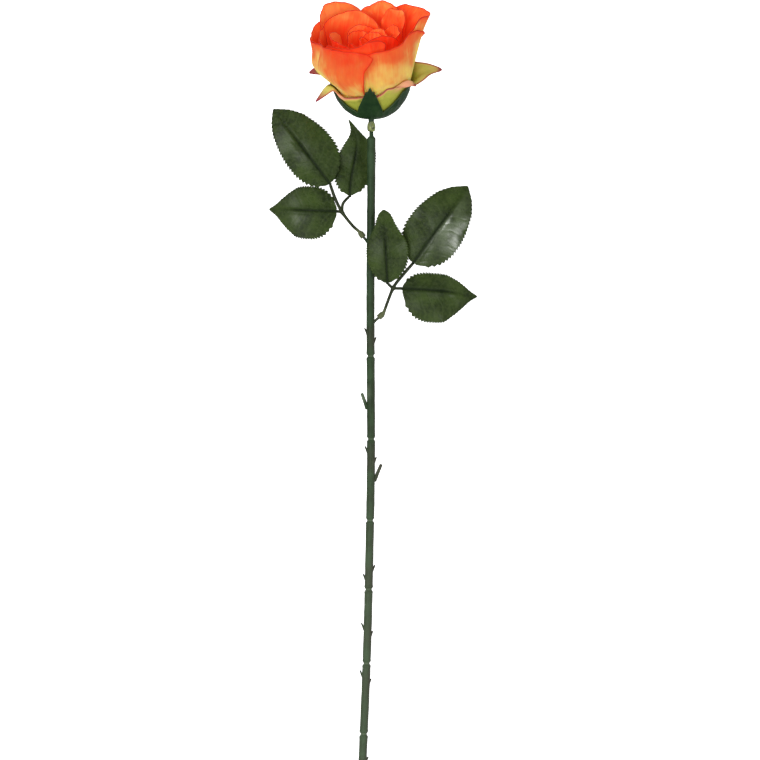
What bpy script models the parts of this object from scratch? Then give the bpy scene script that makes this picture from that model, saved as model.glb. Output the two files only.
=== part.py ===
"""An artificial silk rose that lies on a table: a moulded stem over a steel wire, a bloom of fabric petal layers
threaded on a pin, a green calyx, and two sprays of three fabric leaflets.

+Y runs along the stem towards the bloom and +Z is up. The bloom's own frame has its axis along z, with its base at
the calyx; azimuth 0 is to the right and 270 faces up from the table. Lengths are in millimetres up to the meshes.
"""

import math

import bmesh
import bpy
import numpy as np
from mathutils import Matrix, Vector

MM = 0.001

# The stem
STEM_RADIUS = 2.9
NECK_RADIUS = 1.5
PEG_RADIUS = 1.45
WIRE_RADIUS = 0.8
FIT = 0.3
STEM_SIDES = 10
STEM_FOOT = -275.6
BORE_END = 176.0
STEM_ROUTE = (
    (-8.3, STEM_FOOT, 2.95),
    (-7.2, -248.5, 3.4),
    (-4.4, -178.5, 4.7),
    (-2.7, -108.5, 5.9),
    (-1.6, -38.5, 7.2),
    (-2.0, 66.5, 9.0),
    (-1.4, 150.0, 10.7),
    (-1.3, 180.0, 11.2),
    (-1.4, 184.8, 11.7),
    (-1.4, 188.5, 12.4),
)
ROUTE_STEP = 1.0
# The stem's line rises gently, and faster from the neck on.
STEM_SLOPE = 0.018
NECK_SLOPE = 0.17
NECK_START = 181.0
WIRE_RINGS = 12
GROOVES_Y = (27.3, -30.8, -87.9, -136.1, -188.0, -237.5)
GROOVE_DEPTH = 0.8
GROOVE_HALF_WIDTH = 0.7
GROOVE_REACH = 1.6
# Where else the stem has a ring of points.
PLAIN_RINGS_Y = (-215.0, -160.0, -112.0, -60.0, 0.0, 66.0, 104.0, 150.0)
SHOULDER = (
    (179.8, 2.85),
    (180.6, 2.2),
    (181.4, NECK_RADIUS),
    (184.4, NECK_RADIUS),
    (184.45, PEG_RADIUS),
    (188.2, PEG_RADIUS),
)
# Thorns, which lie close along the stem: y of the tip, side (-1 left, 1 right), length out of the stem.
THORNS = (
    (47.0, -1, 1.3),
    (40.6, 1, 1.0),
    (-35.7, -1, 1.4),
    (-43.4, 1, 1.0),
    (-119.0, 1, 1.4),
    (-125.3, -1, 1.0),
    (-159.6, -1, 1.4),
    (-165.2, 1, 1.0),
    (-192.8, -1, 1.3),
    (-198.8, 1, 1.0),
    (-253.4, 1, 1.3),
)
THORN_ROOT = 0.9
THORN_TIP = 0.5
THORN_OUT = 0.42
THORN_RISE = 0.91
# Bare pegs left for further leaves: y where they leave the stem's middle, lean to the side, length.
BARE_PEGS = ((-17.0, -0.33, 16.6), (-66.3, 0.39, 16.5))
BARE_PEG_ROOT = 1.35
BARE_PEG_TIP = 1.1
BARE_PEG_RISE = 0.93
# How far every stub stays off the wire.
BORE_MARGIN = 0.45
STUB_SIDES = 8

# The bloom
BLOOM_BASE = (-1.4, 195.3, 14.85)
BLOOM_TILT = math.radians(27)
BALL = 27.0
WALL = 0.7
HUB_HOLE = 2.0
HUB_THICK = 1.0
PIN_RADIUS = 1.6
PIN_TOP = 12.7
PIN_HEAD_RADIUS = 2.45
PIN_HEAD_THICK = 1.0
PIN_START = 0.2
# The knob from its mouth up, a bead, a waist and a flare under the calyx: point, direction, radius. Its last ring
# lies on the bloom's axis.
KNOB_RINGS = (
    ((-1.4, 184.8, 11.7), (0, 1, 0.18), 2.45),
    ((-1.4, 187.6, 12.25), (0, 1, 0.25), 3.0),
    ((-1.4, 190.5, 13.1), (0, 1, 0.36), 2.5),
    ((-1.4, 193.1, 14.2), (0, 1, 0.46), 2.0),
)
KNOB_FLARE = 3.4
SOCKET_RADIUS = PEG_RADIUS + FIT + 0.05
# A layer keeps LAYER_GAP from the ones outside it, within so many steps of azimuth and of height.
LAYER_GAP = 1.45
BESIDE = (-2, -1, 0, 1, 2)
NEAR = (-1, 0, 1, 2, 3, 4)
BOWL_FLOOR = 13.0
AZIMUTH_STEP = 5.0
ROOM_ROWS = 92
FAR = 99.0

# Sepals: azimuth of the notch before it, azimuth of its middle, and height of its tip.
SEPALS = ((245.0, 268.5, 39.5), (291.0, 330.0, 31.5), (374.0, 412.0, 33.5), (448.0, 484.0, 33.5), (520.0, 559.0, 23.5))
NOTCH_HEIGHT = 12.5
CALYX_ROWS = 7
CALYX_HEIGHTS = (0.9, 1.9, 5.2, 9.0, 16.0, 22.0, 27.0, 31.0, 35.0, 40.0)
CALYX_RADII = (2.3, 8.5, 15.9, 20.2, 24.7, 26.9, 28.6, 30.8, 33.6, 37.2)
# A sepal's edge from its middle to the notch: share of the way, and share of the tip's height, with a small tooth.
SEPAL_EDGE = ((0, 1), (0.07, 0.9), (0.14, 0.77), (0.23, 0.81), (0.29, 0.7), (0.4, 0.58), (0.62, 0.36), (0.89, 0.12), (1, 0))

# The guard's rim: azimuth, radius, height, and height of the crest below the rim.
GUARD_RIM = (
    (193.0, 29.0, 28.0, 24.0),
    (198.0, 33.0, 28.2, 28.0),
    (202.0, 39.5, 22.5, 29.5),
    (205.0, 42.8, 19.3, 30.0),
    (208.5, 36.5, 23.5, 29.5),
    (212.0, 31.6, 27.2, 27.0),
    (217.0, 29.8, 26.0, 24.0),
    (223.0, 29.0, 25.0, 22.5),
    (230.0, 28.8, 24.6, 22.0),
    (242.0, 28.4, 26.2, 23.0),
    (256.0, 28.6, 27.5, 24.0),
    (270.0, 28.8, 27.9, 24.5),
    (278.0, 28.9, 28.3, 25.0),
    (285.0, 29.0, 30.8, 26.5),
    (292.0, 29.3, 33.8, 30.0),
    (300.0, 29.5, 33.6, 31.0),
    (308.0, 30.5, 33.5, 33.5),
    (318.0, 32.5, 32.5, 35.5),
    (326.0, 34.0, 32.2, 35.5),
    (333.0, 35.3, 30.7, 33.5),
    (339.0, 31.5, 30.6, 31.2),
    (345.0, 32.5, 28.0, 29.0),
    (350.0, 37.0, 30.5, 29.8),
    (355.0, 42.0, 34.0, 31.5),
    (361.0, 49.5, 35.4, 33.5),
    (367.0, 42.0, 37.6, 34.5),
    (374.0, 33.5, 38.0, 33.5),
    (384.0, 30.5, 36.0, 31.0),
    (412.0, 29.3, 30.0, 26.0),
    (436.0, 29.8, 32.0, 28.5),
    (448.0, 30.5, 35.0, 31.5),
    (460.0, 30.2, 31.0, 28.0),
    (486.0, 29.3, 30.0, 26.0),
    (512.0, 31.0, 31.0, 28.0),
    (519.0, 38.0, 33.0, 31.5),
    (529.0, 44.3, 29.5, 31.5),
    (538.0, 35.0, 31.0, 30.0),
    (545.0, 29.5, 29.0, 26.0),
)
GUARD_COLUMNS = 60
GUARD_ROWS = 9
GUARD_INSET = 1.3
GUARD_DEGREES = (36, 62, 80)
# The guard's hub: radius and height of its edge and of the ring where the bowl begins.
GUARD_HUB = ((2.3, 2.4), (8.5, 3.1))
# Below the rim the guard's radius lies between the bowl's and the rim's. Its upper part curls out freely where the
# rim reaches further than CURL_REACH.
CREST_RADIUS = 28.0
CREST_SHARE = 0.38
CURL_REACH = (29.8, 31.5)
CURL_ROWS = (0.6, 0.7)

# Petal layers from the outside in: inset from the calyx's ball, hub height, radii of the roots and of the hub's edge,
# columns and rows of a petal. Each petal has its azimuth and half span, then rim radii, rim heights and belly radii
# across it, and may have how far its edges stand out, another azimuth and half span at its root, how far its
# right corner swings on at the rim (flare), and how far it has come from belly to rim shortly below the rim (lean).
LEAN = 0.45
LAP = (-1.5, 0, 1.5)
NO_LAP = (0, 0, 0)
OUTER = dict(
    name="petals_outer",
    inset=3.0,
    hub=4.4,
    root=(6.6, 7.6),
    grid=(8, 10),
    petals=(
        dict(
            az=230.5,
            span=31.5,
            flare=5.0,
            rim_r=(38.0, 39.0, 38.0, 36.2, 34.4),
            rim_z=(65.2, 64.0, 65.0, 66.0, 65.5),
            belly=(38.5, 37.2, 33.6),
            edges=(0, 0, 0.5),
            root=(226, 28),
        ),
        dict(
            az=306,
            span=50,
            rim_r=(34.0, 34.5, 33.6, 32.3, 41.0),
            rim_z=(64.6, 65.8, 68.5, 73.0, 70.5),
            belly=(32.5, 32.5, 30.0),
            lean=0.25,
            root=(280, 48),
            edges=(-1.2, 0, 0),
        ),
        dict(
            az=379,
            span=52,
            rim_r=(31.5, 34.5, 41.0, 39.0, 38.0, 39.0),
            rim_z=(77.0, 79.5, 76.0, 74.8, 73.2, 68.0),
            belly=(28.5, 33.0, 35.0),
            edges=NO_LAP,
        ),
        dict(
            az=438,
            span=28,
            rim_r=(34.0, 35.0, 35.0, 34.0, 33.0),
            rim_z=(68.7, 70.9, 72.9, 69.5, 68.2),
            belly=(33.0, 34.0, 33.0),
            edges=NO_LAP,
        ),
        dict(
            az=487,
            span=31,
            rim_r=(38.5, 40.0, 41.0, 41.0, 39.0),
            rim_z=(63.0, 69.4, 73.1, 73.4, 72.0),
            belly=(36.5, 38.0, 38.0),
            edges=NO_LAP,
        ),
        dict(
            az=536,
            span=31,
            rim_r=(43.0, 42.5, 42.1, 39.8, 36.5),
            rim_z=(66.5, 61.0, 58.2, 60.5, 66.0),
            belly=(40.5, 40.5, 36.5),
            edges=NO_LAP,
        ),
    ),
)
SECOND = dict(
    name="petals_second",
    inset=7.0,
    hub=6.0,
    root=(6.0, 6.9),
    grid=(8, 7),
    petals=(
        dict(
            az=47.5,
            span=27.5,
            rim_r=(24.0, 28.0, 26.0, 24.0, 22.0),
            rim_z=(65.7, 73.4, 72.7, 72.6, 64.6),
            belly=(26.0, 27.0, 25.0),
        ),
        dict(
            az=110,
            span=48,
            rim_r=(15.0, 21.0, 28.0, 33.0, 35.0),
            rim_z=(60.8, 65.2, 69.1, 67.3, 67.2),
            belly=(20.0, 27.0, 31.0),
        ),
        dict(
            az=172,
            span=34,
            rim_r=(36.0, 37.0, 36.5, 35.0, 33.0),
            rim_z=(66.0, 62.0, 59.5, 60.0, 61.5),
            belly=(33.0, 35.0, 33.0),
        ),
        dict(
            az=245,
            span=45,
            rim_r=(35.3, 35.0, 34.3, 30.5, 28.0),
            rim_z=(63.5, 64.2, 67.0, 72.4, 74.5),
            belly=(34.0, 33.0, 28.0),
        ),
        dict(
            az=325,
            span=36,
            rim_r=(28.0, 28.5, 29.0, 29.0, 28.5),
            rim_z=(62.0, 62.0, 63.0, 64.0, 64.0),
            belly=(28.0, 27.0, 27.0),
        ),
    ),
)
MIDDLE = dict(
    name="petals_middle",
    inset=11.5,
    hub=7.6,
    root=(5.2, 5.9),
    grid=(8, 6),
    petals=(
        dict(
            az=15,
            span=45,
            rim_r=(20.0, 20.0, 19.0, 18.0, 16.0),
            rim_z=(65.0, 66.0, 66.5, 65.0, 62.0),
            belly=(20.0, 19.0, 17.0),
        ),
        dict(
            az=100,
            span=45,
            rim_r=(14.0, 15.0, 16.0, 17.5, 18.5),
            rim_z=(58.0, 60.0, 62.0, 63.0, 62.0),
            belly=(15.0, 17.0, 20.0),
        ),
        dict(
            az=195,
            span=45,
            rim_r=(27.0, 29.0, 28.0, 26.0, 24.0),
            rim_z=(60.3, 63.0, 63.4, 63.5, 64.8),
            belly=(24.0, 25.0, 23.0),
        ),
        dict(
            az=285,
            span=45,
            rim_r=(23.0, 23.0, 21.5, 21.0, 20.0),
            rim_z=(62.0, 68.0, 71.5, 70.0, 67.0),
            belly=(22.0, 21.0, 20.0),
        ),
    ),
)
INNER = dict(
    name="petals_inner",
    inset=17.5,
    hub=9.2,
    root=(4.3, 4.9),
    grid=(7, 6),
    petals=(
        dict(az=45, span=54, rim_r=(11.0, 12.0, 11.5), rim_z=(60.0, 62.5, 61.0), belly=(12, 12.5, 12)),
        dict(az=150, span=54, rim_r=(13.0, 15.0, 15.0), rim_z=(60.0, 61.5, 59.5), belly=(13.5, 15, 15)),
        dict(az=238, span=54, rim_r=(16.0, 16.0, 14.5), rim_z=(58.5, 60.0, 62.0), belly=(15, 15, 14)),
        dict(az=320, span=54, rim_r=(13.5, 14.0, 13.0), rim_z=(62.0, 64.5, 63.0), belly=(13.5, 14, 13)),
    ),
)
BUD = dict(
    name="petals_bud",
    inset=22.0,
    hub=10.8,
    root=(3.1, 3.8),
    grid=(9, 5),
    petals=(
        dict(az=60, span=72, rim_r=(6.5, 8.0, 6.0), rim_z=(58.0, 61.5, 60.0), belly=(8.8, 8.8, 8.8)),
        dict(az=180, span=72, rim_r=(6.5, 8.0, 6.0), rim_z=(57.0, 60.0, 58.5), belly=(8.8, 8.8, 8.8)),
        dict(az=300, span=72, rim_r=(6.5, 8.0, 6.0), rim_z=(57.0, 61.0, 59.0), belly=(8.8, 8.8, 8.8)),
    ),
)
# In the bowl a petal passes two points: degrees up the ball, least radius, and least height above its hub.
BOWL_POINTS = ((36, 7.0, 3.0), (66, 8.0, 9.0))
# Above the bowl: shares of the rise at the low belly, the belly and below the rim, and the low belly's radius.
BELLY_RISE = (0.2, 0.5, 0.77)
BELLY_SHARE = 0.65
LOW_BELLY = 27.0
# Corners are cut round, and the last fifth of a petal rolls out.
CORNER_CUT = 0.07
RIM_ROLL = math.radians(6)
ROLL_START = 0.8
# The roots of a layer's petals cover this many degrees to each side, shared among them. A petal widens and swings
# to its own azimuth on the way up.
ROOT_SPREAD = 150
LAP_ROWS = (0.25, 0.5)
WIDENING_ROWS = (0.25, 0.85)
SWING_ROWS = (0.05, 0.6)

# Leaflets: base and tip (x, y, z), greatest width to the left and right of the rib seen from the base, arch of the
# rib, roll about the rib in degrees, and bow of the rib to the left.
BROAD = ((0, 0.12), (0.04, 0.52), (0.13, 0.84), (0.28, 1.0), (0.5, 0.96), (0.75, 0.72), (0.89, 0.42), (1, 0.03))
POINTED = ((0, 0.12), (0.04, 0.54), (0.14, 0.87), (0.3, 1.0), (0.54, 0.95), (0.7, 0.67), (0.81, 0.42), (0.9, 0.2), (1, 0.03))
BLUNT = ((0, 0.12), (0.05, 0.52), (0.16, 0.84), (0.36, 1.0), (0.55, 0.9), (0.75, 0.56), (0.88, 0.38), (0.95, 0.26), (1, 0.05))
HOOKED = ((0, 0.1), (0.05, 0.54), (0.16, 0.86), (0.34, 1.0), (0.55, 0.93), (0.68, 0.68), (0.79, 0.36), (0.88, 0.17), (1, 0.03))
LEAFLETS = dict(
    leaflet_left_tip=dict(
        base=(-30.5, 148.1, 10.3),
        tip=(-70.0, 200.2, 0.6),
        left=15.8,
        right=20.0,
        arch=7,
        roll=0,
        shape=BROAD,
    ),
    leaflet_left_upper=dict(
        base=(-16.4, 139.9, 7.5),
        tip=(-17.2, 192.9, 3.2),
        left=12.0,
        right=15.0,
        arch=0.5,
        roll=8,
        shape=HOOKED,
        bow=-5.3,
    ),
    leaflet_left_lower=dict(
        base=(-25.6, 128.6, 10.4),
        tip=(-72.8, 130.2, 0.6),
        left=19.6,
        right=16.4,
        arch=7,
        roll=0,
        shape=POINTED,
    ),
    leaflet_right_tip=dict(
        base=(28.0, 92.6, 11.3),
        tip=(66.1, 146.3, 0.6),
        left=20.3,
        right=19.2,
        arch=8,
        roll=0,
        shape=BROAD,
    ),
    leaflet_right_upper=dict(
        base=(9.9, 78.6, 15.6),
        tip=(7.2, 129.6, 16.5),
        left=13.0,
        right=15.5,
        arch=3,
        roll=0,
        shape=BLUNT,
    ),
    leaflet_right_lower=dict(
        base=(20.4, 74.5, 12.7),
        tip=(72.7, 69.1, 0.6),
        left=12.3,
        right=21.7,
        arch=6,
        roll=-12,
        shape=POINTED,
    ),
)
LEAF_TEETH = 11
LEAF_COLUMNS = 5
TOOTH = 0.9
# Least width at a notch, how far the rows lean forward, and how the blade droops beside its rib.
LEAST_REACH = 0.35
ROW_LEAN = 0.16
LEAF_DROOP = 0.012
# A rib's bow is greatest past its middle.
BOW_POWER = 1.8

# Leaf stalks: the route of the rachis from the stem, its side branches, and the peg that each sleeve sits on.
STALK_RADIUS = 1.1
SLEEVE_RADIUS = 2.1
STALK_PEG_RADIUS = 0.95
SLEEVE_START = 7.9
SLEEVE_LENGTH = 4.6
SLEEVE_MOUTH = 1.9
SLEEVE_SWELL = 2.4
SLEEVE_END = 1.6
SLEEVE_DEPTH = 3.0
BRANCH_RADIUS = 1.023
RACHIS_STEP = 5.0
BRANCH_STEP = 4.0
STALK_PEG_LENGTH = 7.4
STALKS = dict(
    leaf_stalk_left=dict(
        root=(-1.8, 104.3, 9.7),
        way=(-0.62, 0.78, 0.0),
        route=((-14.9, 119.0, 10.6), (-21.9, 128.1, 10.7), (-26.8, 137.9, 10.7), (-30.2, 147.4, 10.35)),
        branches=(
            ((-21.9, 128.1, 10.7), (-21.2, 134.0, 9.6), (-16.8, 139.2, 7.5)),
            ((-21.9, 128.1, 10.7), (-25.1, 128.5, 10.5)),
        ),
    ),
    leaf_stalk_right=dict(
        root=(-1.9, 49.0, 8.7),
        way=(0.72, 0.66, 0.2),
        route=((13.8, 74.6, 14.0), (20.1, 83.3, 13.1), (27.6, 92.0, 11.6)),
        branches=(
            ((13.8, 74.6, 14.0), (11.6, 76.6, 15.0), (10.2, 78.0, 15.5)),
            ((13.8, 74.6, 14.0), (19.9, 74.6, 12.8)),
        ),
    ),
)

# Colours, linear RGB
STEM_GREEN = (0.055, 0.089, 0.051)
OLIVE = (0.118, 0.146, 0.062)
CALYX_GREEN = (0.027, 0.056, 0.025)
CHARTREUSE = (0.36, 0.33, 0.06)
ORANGE = (0.85, 0.14, 0.03)
LEAF_GREEN = (0.045, 0.075, 0.025)
STALK_GREEN = (0.09, 0.10, 0.07)
STEEL = (0.55, 0.55, 0.55)


def across(u, *values):
    """A value that runs smoothly through the given ones from u = -1 to 1."""
    return through(list(values), (u + 1) / 2)


def eased(x, low, high):
    t = np.clip((x - low) / (high - low), 0, 1)
    return t * t * (3 - 2 * t)


def through(knots, t):
    """The smooth curve through knots, which may each be an array, at t from 0 to 1."""
    last = len(knots) - 1
    place = np.clip(t, 0, 1) * last
    i = np.minimum(place.astype(int), last - 1)
    f = place - i
    table = np.stack([np.broadcast_to(knot, t.shape) for knot in knots])

    def at(j):
        return np.take_along_axis(table, np.clip(j, 0, last)[None], 0)[0]

    p1, p2 = at(i), at(i + 1)
    p0 = np.where(i > 0, at(i - 1), 2 * p1 - p2)
    p3 = np.where(i < last - 1, at(i + 2), 2 * p2 - p1)
    bend = (2 * p0 - 5 * p1 + 4 * p2 - p3) * f**2 + (3 * p1 - p0 - 3 * p2 + p3) * f**3
    return 0.5 * (2 * p1 + (p2 - p0) * f + bend)


def along(points, step):
    """Points about step apart on the smooth curve through the given ones."""
    points = np.array(points, float)
    count = max(2, round(np.linalg.norm(np.diff(points, axis=0), axis=1).sum() / step))
    t = np.linspace(0, 1, count + 1)
    return np.stack([through(list(points[:, k]), t) for k in range(3)], axis=-1)


def material(name, colour, roughness, metallic=0.0):
    made = bpy.data.materials.new(name)
    made.diffuse_color = (*colour, 1)
    made.use_nodes = True
    shader = made.node_tree.nodes["Principled BSDF"]
    shader.inputs["Base Color"].default_value = (*colour, 1)
    shader.inputs["Roughness"].default_value = roughness
    shader.inputs["Metallic"].default_value = metallic
    return made


def solid(name, points, faces, finish):
    """An object from points in millimetres, turned so that its faces point out."""
    mesh = bpy.data.meshes.new(name)
    mesh.from_pydata((np.asarray(points) * MM).tolist(), [], [list(face) for face in faces])
    shape = bmesh.new()
    shape.from_mesh(mesh)
    if shape.calc_volume(signed=True) < 0:
        bmesh.ops.reverse_faces(shape, faces=shape.faces)
    shape.to_mesh(mesh)
    shape.free()
    mesh.materials.append(finish)
    mesh.shade_smooth()
    mesh.set_sharp_from_angle(angle=math.radians(50))
    made = bpy.data.objects.new(name, mesh)
    bpy.context.scene.collection.objects.link(made)
    return made


def sheet(name, grid, thick, finish, ring=False):
    """A closed sheet of even thickness from a grid of points, split into triangles alike on both faces. A ring's
    first and last columns are neighbours."""
    if ring:
        wrapped = np.concatenate([grid[-1:], grid, grid[:1]])
        normal = np.cross(np.gradient(wrapped, axis=0), np.gradient(wrapped, axis=1))[1:-1]
    else:
        normal = np.cross(np.gradient(grid, axis=0), np.gradient(grid, axis=1))
    normal = normal / np.maximum(np.linalg.norm(normal, axis=-1, keepdims=True), 1e-9)
    columns, rows = grid.shape[:2]
    count = columns * rows
    points = np.concatenate([(grid + normal * thick / 2).reshape(-1, 3), (grid - normal * thick / 2).reshape(-1, 3)])

    def index(i, j):
        return (i % columns) * rows + j

    faces = []
    last = columns if ring else columns - 1
    for i in range(last):
        for j in range(rows - 1):
            a, b, c, d = index(i, j), index(i + 1, j), index(i + 1, j + 1), index(i, j + 1)
            faces += [(a, b, c), (a, c, d)]
            faces += [(c + count, b + count, a + count), (d + count, c + count, a + count)]
    edges = [(index(i, 0), index(i + 1, 0)) for i in range(last)]
    edges += [(index(i + 1, rows - 1), index(i, rows - 1)) for i in range(last)]
    if not ring:
        edges += [(index(0, j + 1), index(0, j)) for j in range(rows - 1)]
        edges += [(index(columns - 1, j), index(columns - 1, j + 1)) for j in range(rows - 1)]
    for a, b in edges:
        faces += [(b, a, a + count), (b, a + count, b + count)]
    return solid(name, points, faces, finish)


def swept(name, outside, inside, finish, sides=STEM_SIDES):
    """A solid swept through rings (point, direction, radius): up the outside to a cap and, where there is a bore,
    from the same end up the inside to a cap."""
    points, faces = [], []

    def rings(stations):
        first = len(points)
        for centre, way, radius in stations:
            way = Vector(way).normalized()
            side = way.cross(Vector((0, 0, 1))).normalized()
            lift = side.cross(way)
            for k in range(sides):
                turn = 2 * math.pi * k / sides
                points.append(Vector(centre) + (side * math.cos(turn) + lift * math.sin(turn)) * radius)
        for row in range(len(stations) - 1):
            for k in range(sides):
                a = first + row * sides + k
                b = first + row * sides + (k + 1) % sides
                faces.append((a, b, b + sides, a + sides))
        return first

    start = rings(outside)
    faces.append(tuple(start + (len(outside) - 1) * sides + k for k in range(sides)))
    if inside:
        bore = rings(inside)
        inner_faces = len(faces) - (len(inside) - 1) * sides
        faces[inner_faces:] = [face[::-1] for face in faces[inner_faces:]]
        faces.append(tuple(bore + (len(inside) - 1) * sides + k for k in reversed(range(sides))))
        for k in range(sides):
            after = (k + 1) % sides
            faces.append((bore + k, bore + after, start + after, start + k))
    else:
        faces.append(tuple(start + k for k in reversed(range(sides))))
    return solid(name, [tuple(p) for p in points], faces, finish)


def fuse(name, pieces):
    """The pieces joined into one solid by a Boolean union; the pieces themselves are removed."""
    first, others = pieces[0], pieces[1:]
    group = bpy.data.collections.new(name + "_pieces")
    bpy.context.scene.collection.children.link(group)
    for piece in others:
        bpy.context.scene.collection.objects.unlink(piece)
        group.objects.link(piece)
    union = first.modifiers.new("Union", "BOOLEAN")
    union.operation = "UNION"
    union.operand_type = "COLLECTION"
    union.collection = group
    union.solver = "EXACT"
    graph = bpy.context.evaluated_depsgraph_get()
    mesh = bpy.data.meshes.new_from_object(first.evaluated_get(graph), depsgraph=graph)
    keep_largest_shell(mesh)
    first.modifiers.clear()
    first.data = mesh
    first.name = name
    mesh.name = name
    for piece in others:
        bpy.data.objects.remove(piece)
    bpy.data.collections.remove(group)
    return first


def keep_largest_shell(mesh):
    """Fills the hollows that the union sealed and drops loose scraps: only the outer shell stays."""
    shape = bmesh.new()
    shape.from_mesh(mesh)
    unseen = set(shape.faces)
    shells = []
    while unseen:
        edge = [unseen.pop()]
        shell = list(edge)
        while edge:
            near = {other for side in edge.pop().edges for other in side.link_faces if other in unseen}
            unseen -= near
            edge += near
            shell += near
        shells.append(shell)
    shells.sort(key=lambda shell: sum(face.calc_area() for face in shell))
    spare = [face for shell in shells[:-1] for face in shell]
    bmesh.ops.delete(shape, geom=spare, context="FACES")
    shape.to_mesh(mesh)
    shape.free()


def bloom_to_world():
    """The bloom's frame: azimuth 270 faces up, tilted back from the stem's line."""
    lean = Matrix.Rotation(BLOOM_TILT - math.pi / 2, 4, "X")
    return Matrix.Translation(Vector(BLOOM_BASE) * MM) @ lean


def place_in_bloom(piece):
    piece.data.transform(bloom_to_world())
    return piece


def bloom_point(height):
    """A world point on the bloom's axis, in millimetres."""
    return Vector(BLOOM_BASE) + bloom_axis() * height


def bloom_axis():
    return Vector((0, math.cos(BLOOM_TILT), math.sin(BLOOM_TILT)))


def polar_grid(radius, azimuth, height):
    angle = np.radians(azimuth)
    return np.stack([radius * np.cos(angle), radius * np.sin(angle), height], axis=-1)


def new_room():
    """How far out a layer may reach, by azimuth and height: nothing stands in its way yet."""
    return np.full((round(360 / AZIMUTH_STEP), ROOM_ROWS), FAR)


def room_bins(grid):
    azimuth = np.degrees(np.arctan2(grid[..., 1], grid[..., 0])) % 360
    column = (azimuth / AZIMUTH_STEP).astype(int) % round(360 / AZIMUTH_STEP)
    row = np.clip(grid[..., 2].astype(int), 0, ROOM_ROWS - 1)
    return column, row


def take_room(room, grid):
    """Notes a layer's faces as the limit for the layers inside it."""
    parts = np.linspace(0, 1, 9)
    for s in parts:
        across_columns = grid[:-1] * (1 - s) + grid[1:] * s
        for t in parts:
            dense = across_columns[:, :-1] * (1 - t) + across_columns[:, 1:] * t
            np.minimum.at(room, room_bins(dense), np.hypot(dense[..., 0], dense[..., 1]))


def bent_clear(room, grid):
    """The grid with each point above the bowl's floor drawn in until it clears what stands outside it."""
    beside = np.min([np.roll(room, turn, axis=0) for turn in BESIDE], axis=0)
    near = np.min([np.roll(beside, rise, axis=1) for rise in NEAR], axis=0)
    radius = np.hypot(grid[..., 0], grid[..., 1])
    limit = np.where(grid[..., 2] > BOWL_FLOOR, near[room_bins(grid)] - LAYER_GAP, FAR)
    share = np.minimum(radius, limit) / np.maximum(radius, 1e-6)
    return grid * np.stack([share, share, np.ones_like(share)], axis=-1)


def bent_inside(room, grid):
    """The guard's grid bent clear of the calyx, but for the upper part of the points that curl out over it."""
    curls = eased(np.hypot(grid[:, -1:, 0], grid[:, -1:, 1]), *CURL_REACH)
    inside = 1 - curls * eased(np.linspace(0, 1, grid.shape[1]), *CURL_ROWS)[None, :]
    return grid + (bent_clear(room, grid) - grid) * inside[..., None]


def in_ball(inset, degrees):
    """Radius and height of a point of the bowl, inset from the calyx's ball, so many degrees up from its bottom."""
    radius = BALL - inset
    angle = math.radians(degrees)
    return radius * math.sin(angle), BALL - radius * math.cos(angle)


def calyx_grid():
    """A bowl with five toothed sepals: a ring of columns, each running from the hub up to the sepals' edge."""
    azimuth, top = [], []
    for k, (before, middle, tip) in enumerate(SEPALS):
        after = SEPALS[(k + 1) % len(SEPALS)][0] + 360 * (k + 1 == len(SEPALS))
        edge = [(before, entry) for entry in reversed(SEPAL_EDGE)] + [(after, entry) for entry in SEPAL_EDGE[1:-1]]
        for notch, (share, height) in edge:
            azimuth.append(middle + (notch - middle) * share)
            top.append(NOTCH_HEIGHT + (tip - NOTCH_HEIGHT) * height)
    azimuth, top = np.array(azimuth)[:, None], np.array(top)[:, None]
    v = np.linspace(0, 1, CALYX_ROWS)[None, :] + 0 * top
    cup_floor = through(list(CALYX_HEIGHTS[:3]), v * 3)
    wall = CALYX_HEIGHTS[2] + (top - CALYX_HEIGHTS[2]) * np.clip((v * 3 - 1) / 2, 0, 1)
    height = np.where(v < 1 / 3, cup_floor, wall)
    return polar_grid(np.interp(height, CALYX_HEIGHTS, CALYX_RADII), azimuth + 0 * v, height)


def guard_grid(columns, rows):
    """The chartreuse cup: a ring of columns from the hub to a rim drawn out into five curling points."""
    azimuth = GUARD_RIM[0][0] + np.arange(columns) * 360 / columns
    stops = np.array([entry[0] for entry in GUARD_RIM] + [GUARD_RIM[0][0] + 360])
    rim_r, rim_z, crest_z = (
        np.interp(azimuth, stops, [entry[k] for entry in GUARD_RIM] + [GUARD_RIM[0][k]])[:, None] for k in (1, 2, 3)
    )
    v = np.linspace(0, 1, rows)[None, :] + 0 * rim_r
    (hub_r, hub_z), (edge_r, edge_z) = GUARD_HUB
    (r1, z1), (r2, z2), (r3, z3) = [in_ball(GUARD_INSET, degrees) for degrees in GUARD_DEGREES]
    crest_r = (1 - CREST_SHARE) * CREST_RADIUS + CREST_SHARE * rim_r
    radius = through([hub_r, edge_r, r1, r2, r3, crest_r, rim_r], v)
    height = through([hub_z, edge_z, z1, z2, z3, crest_z, rim_z], v)
    return polar_grid(radius, azimuth[:, None] + 0 * v, height)


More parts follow.
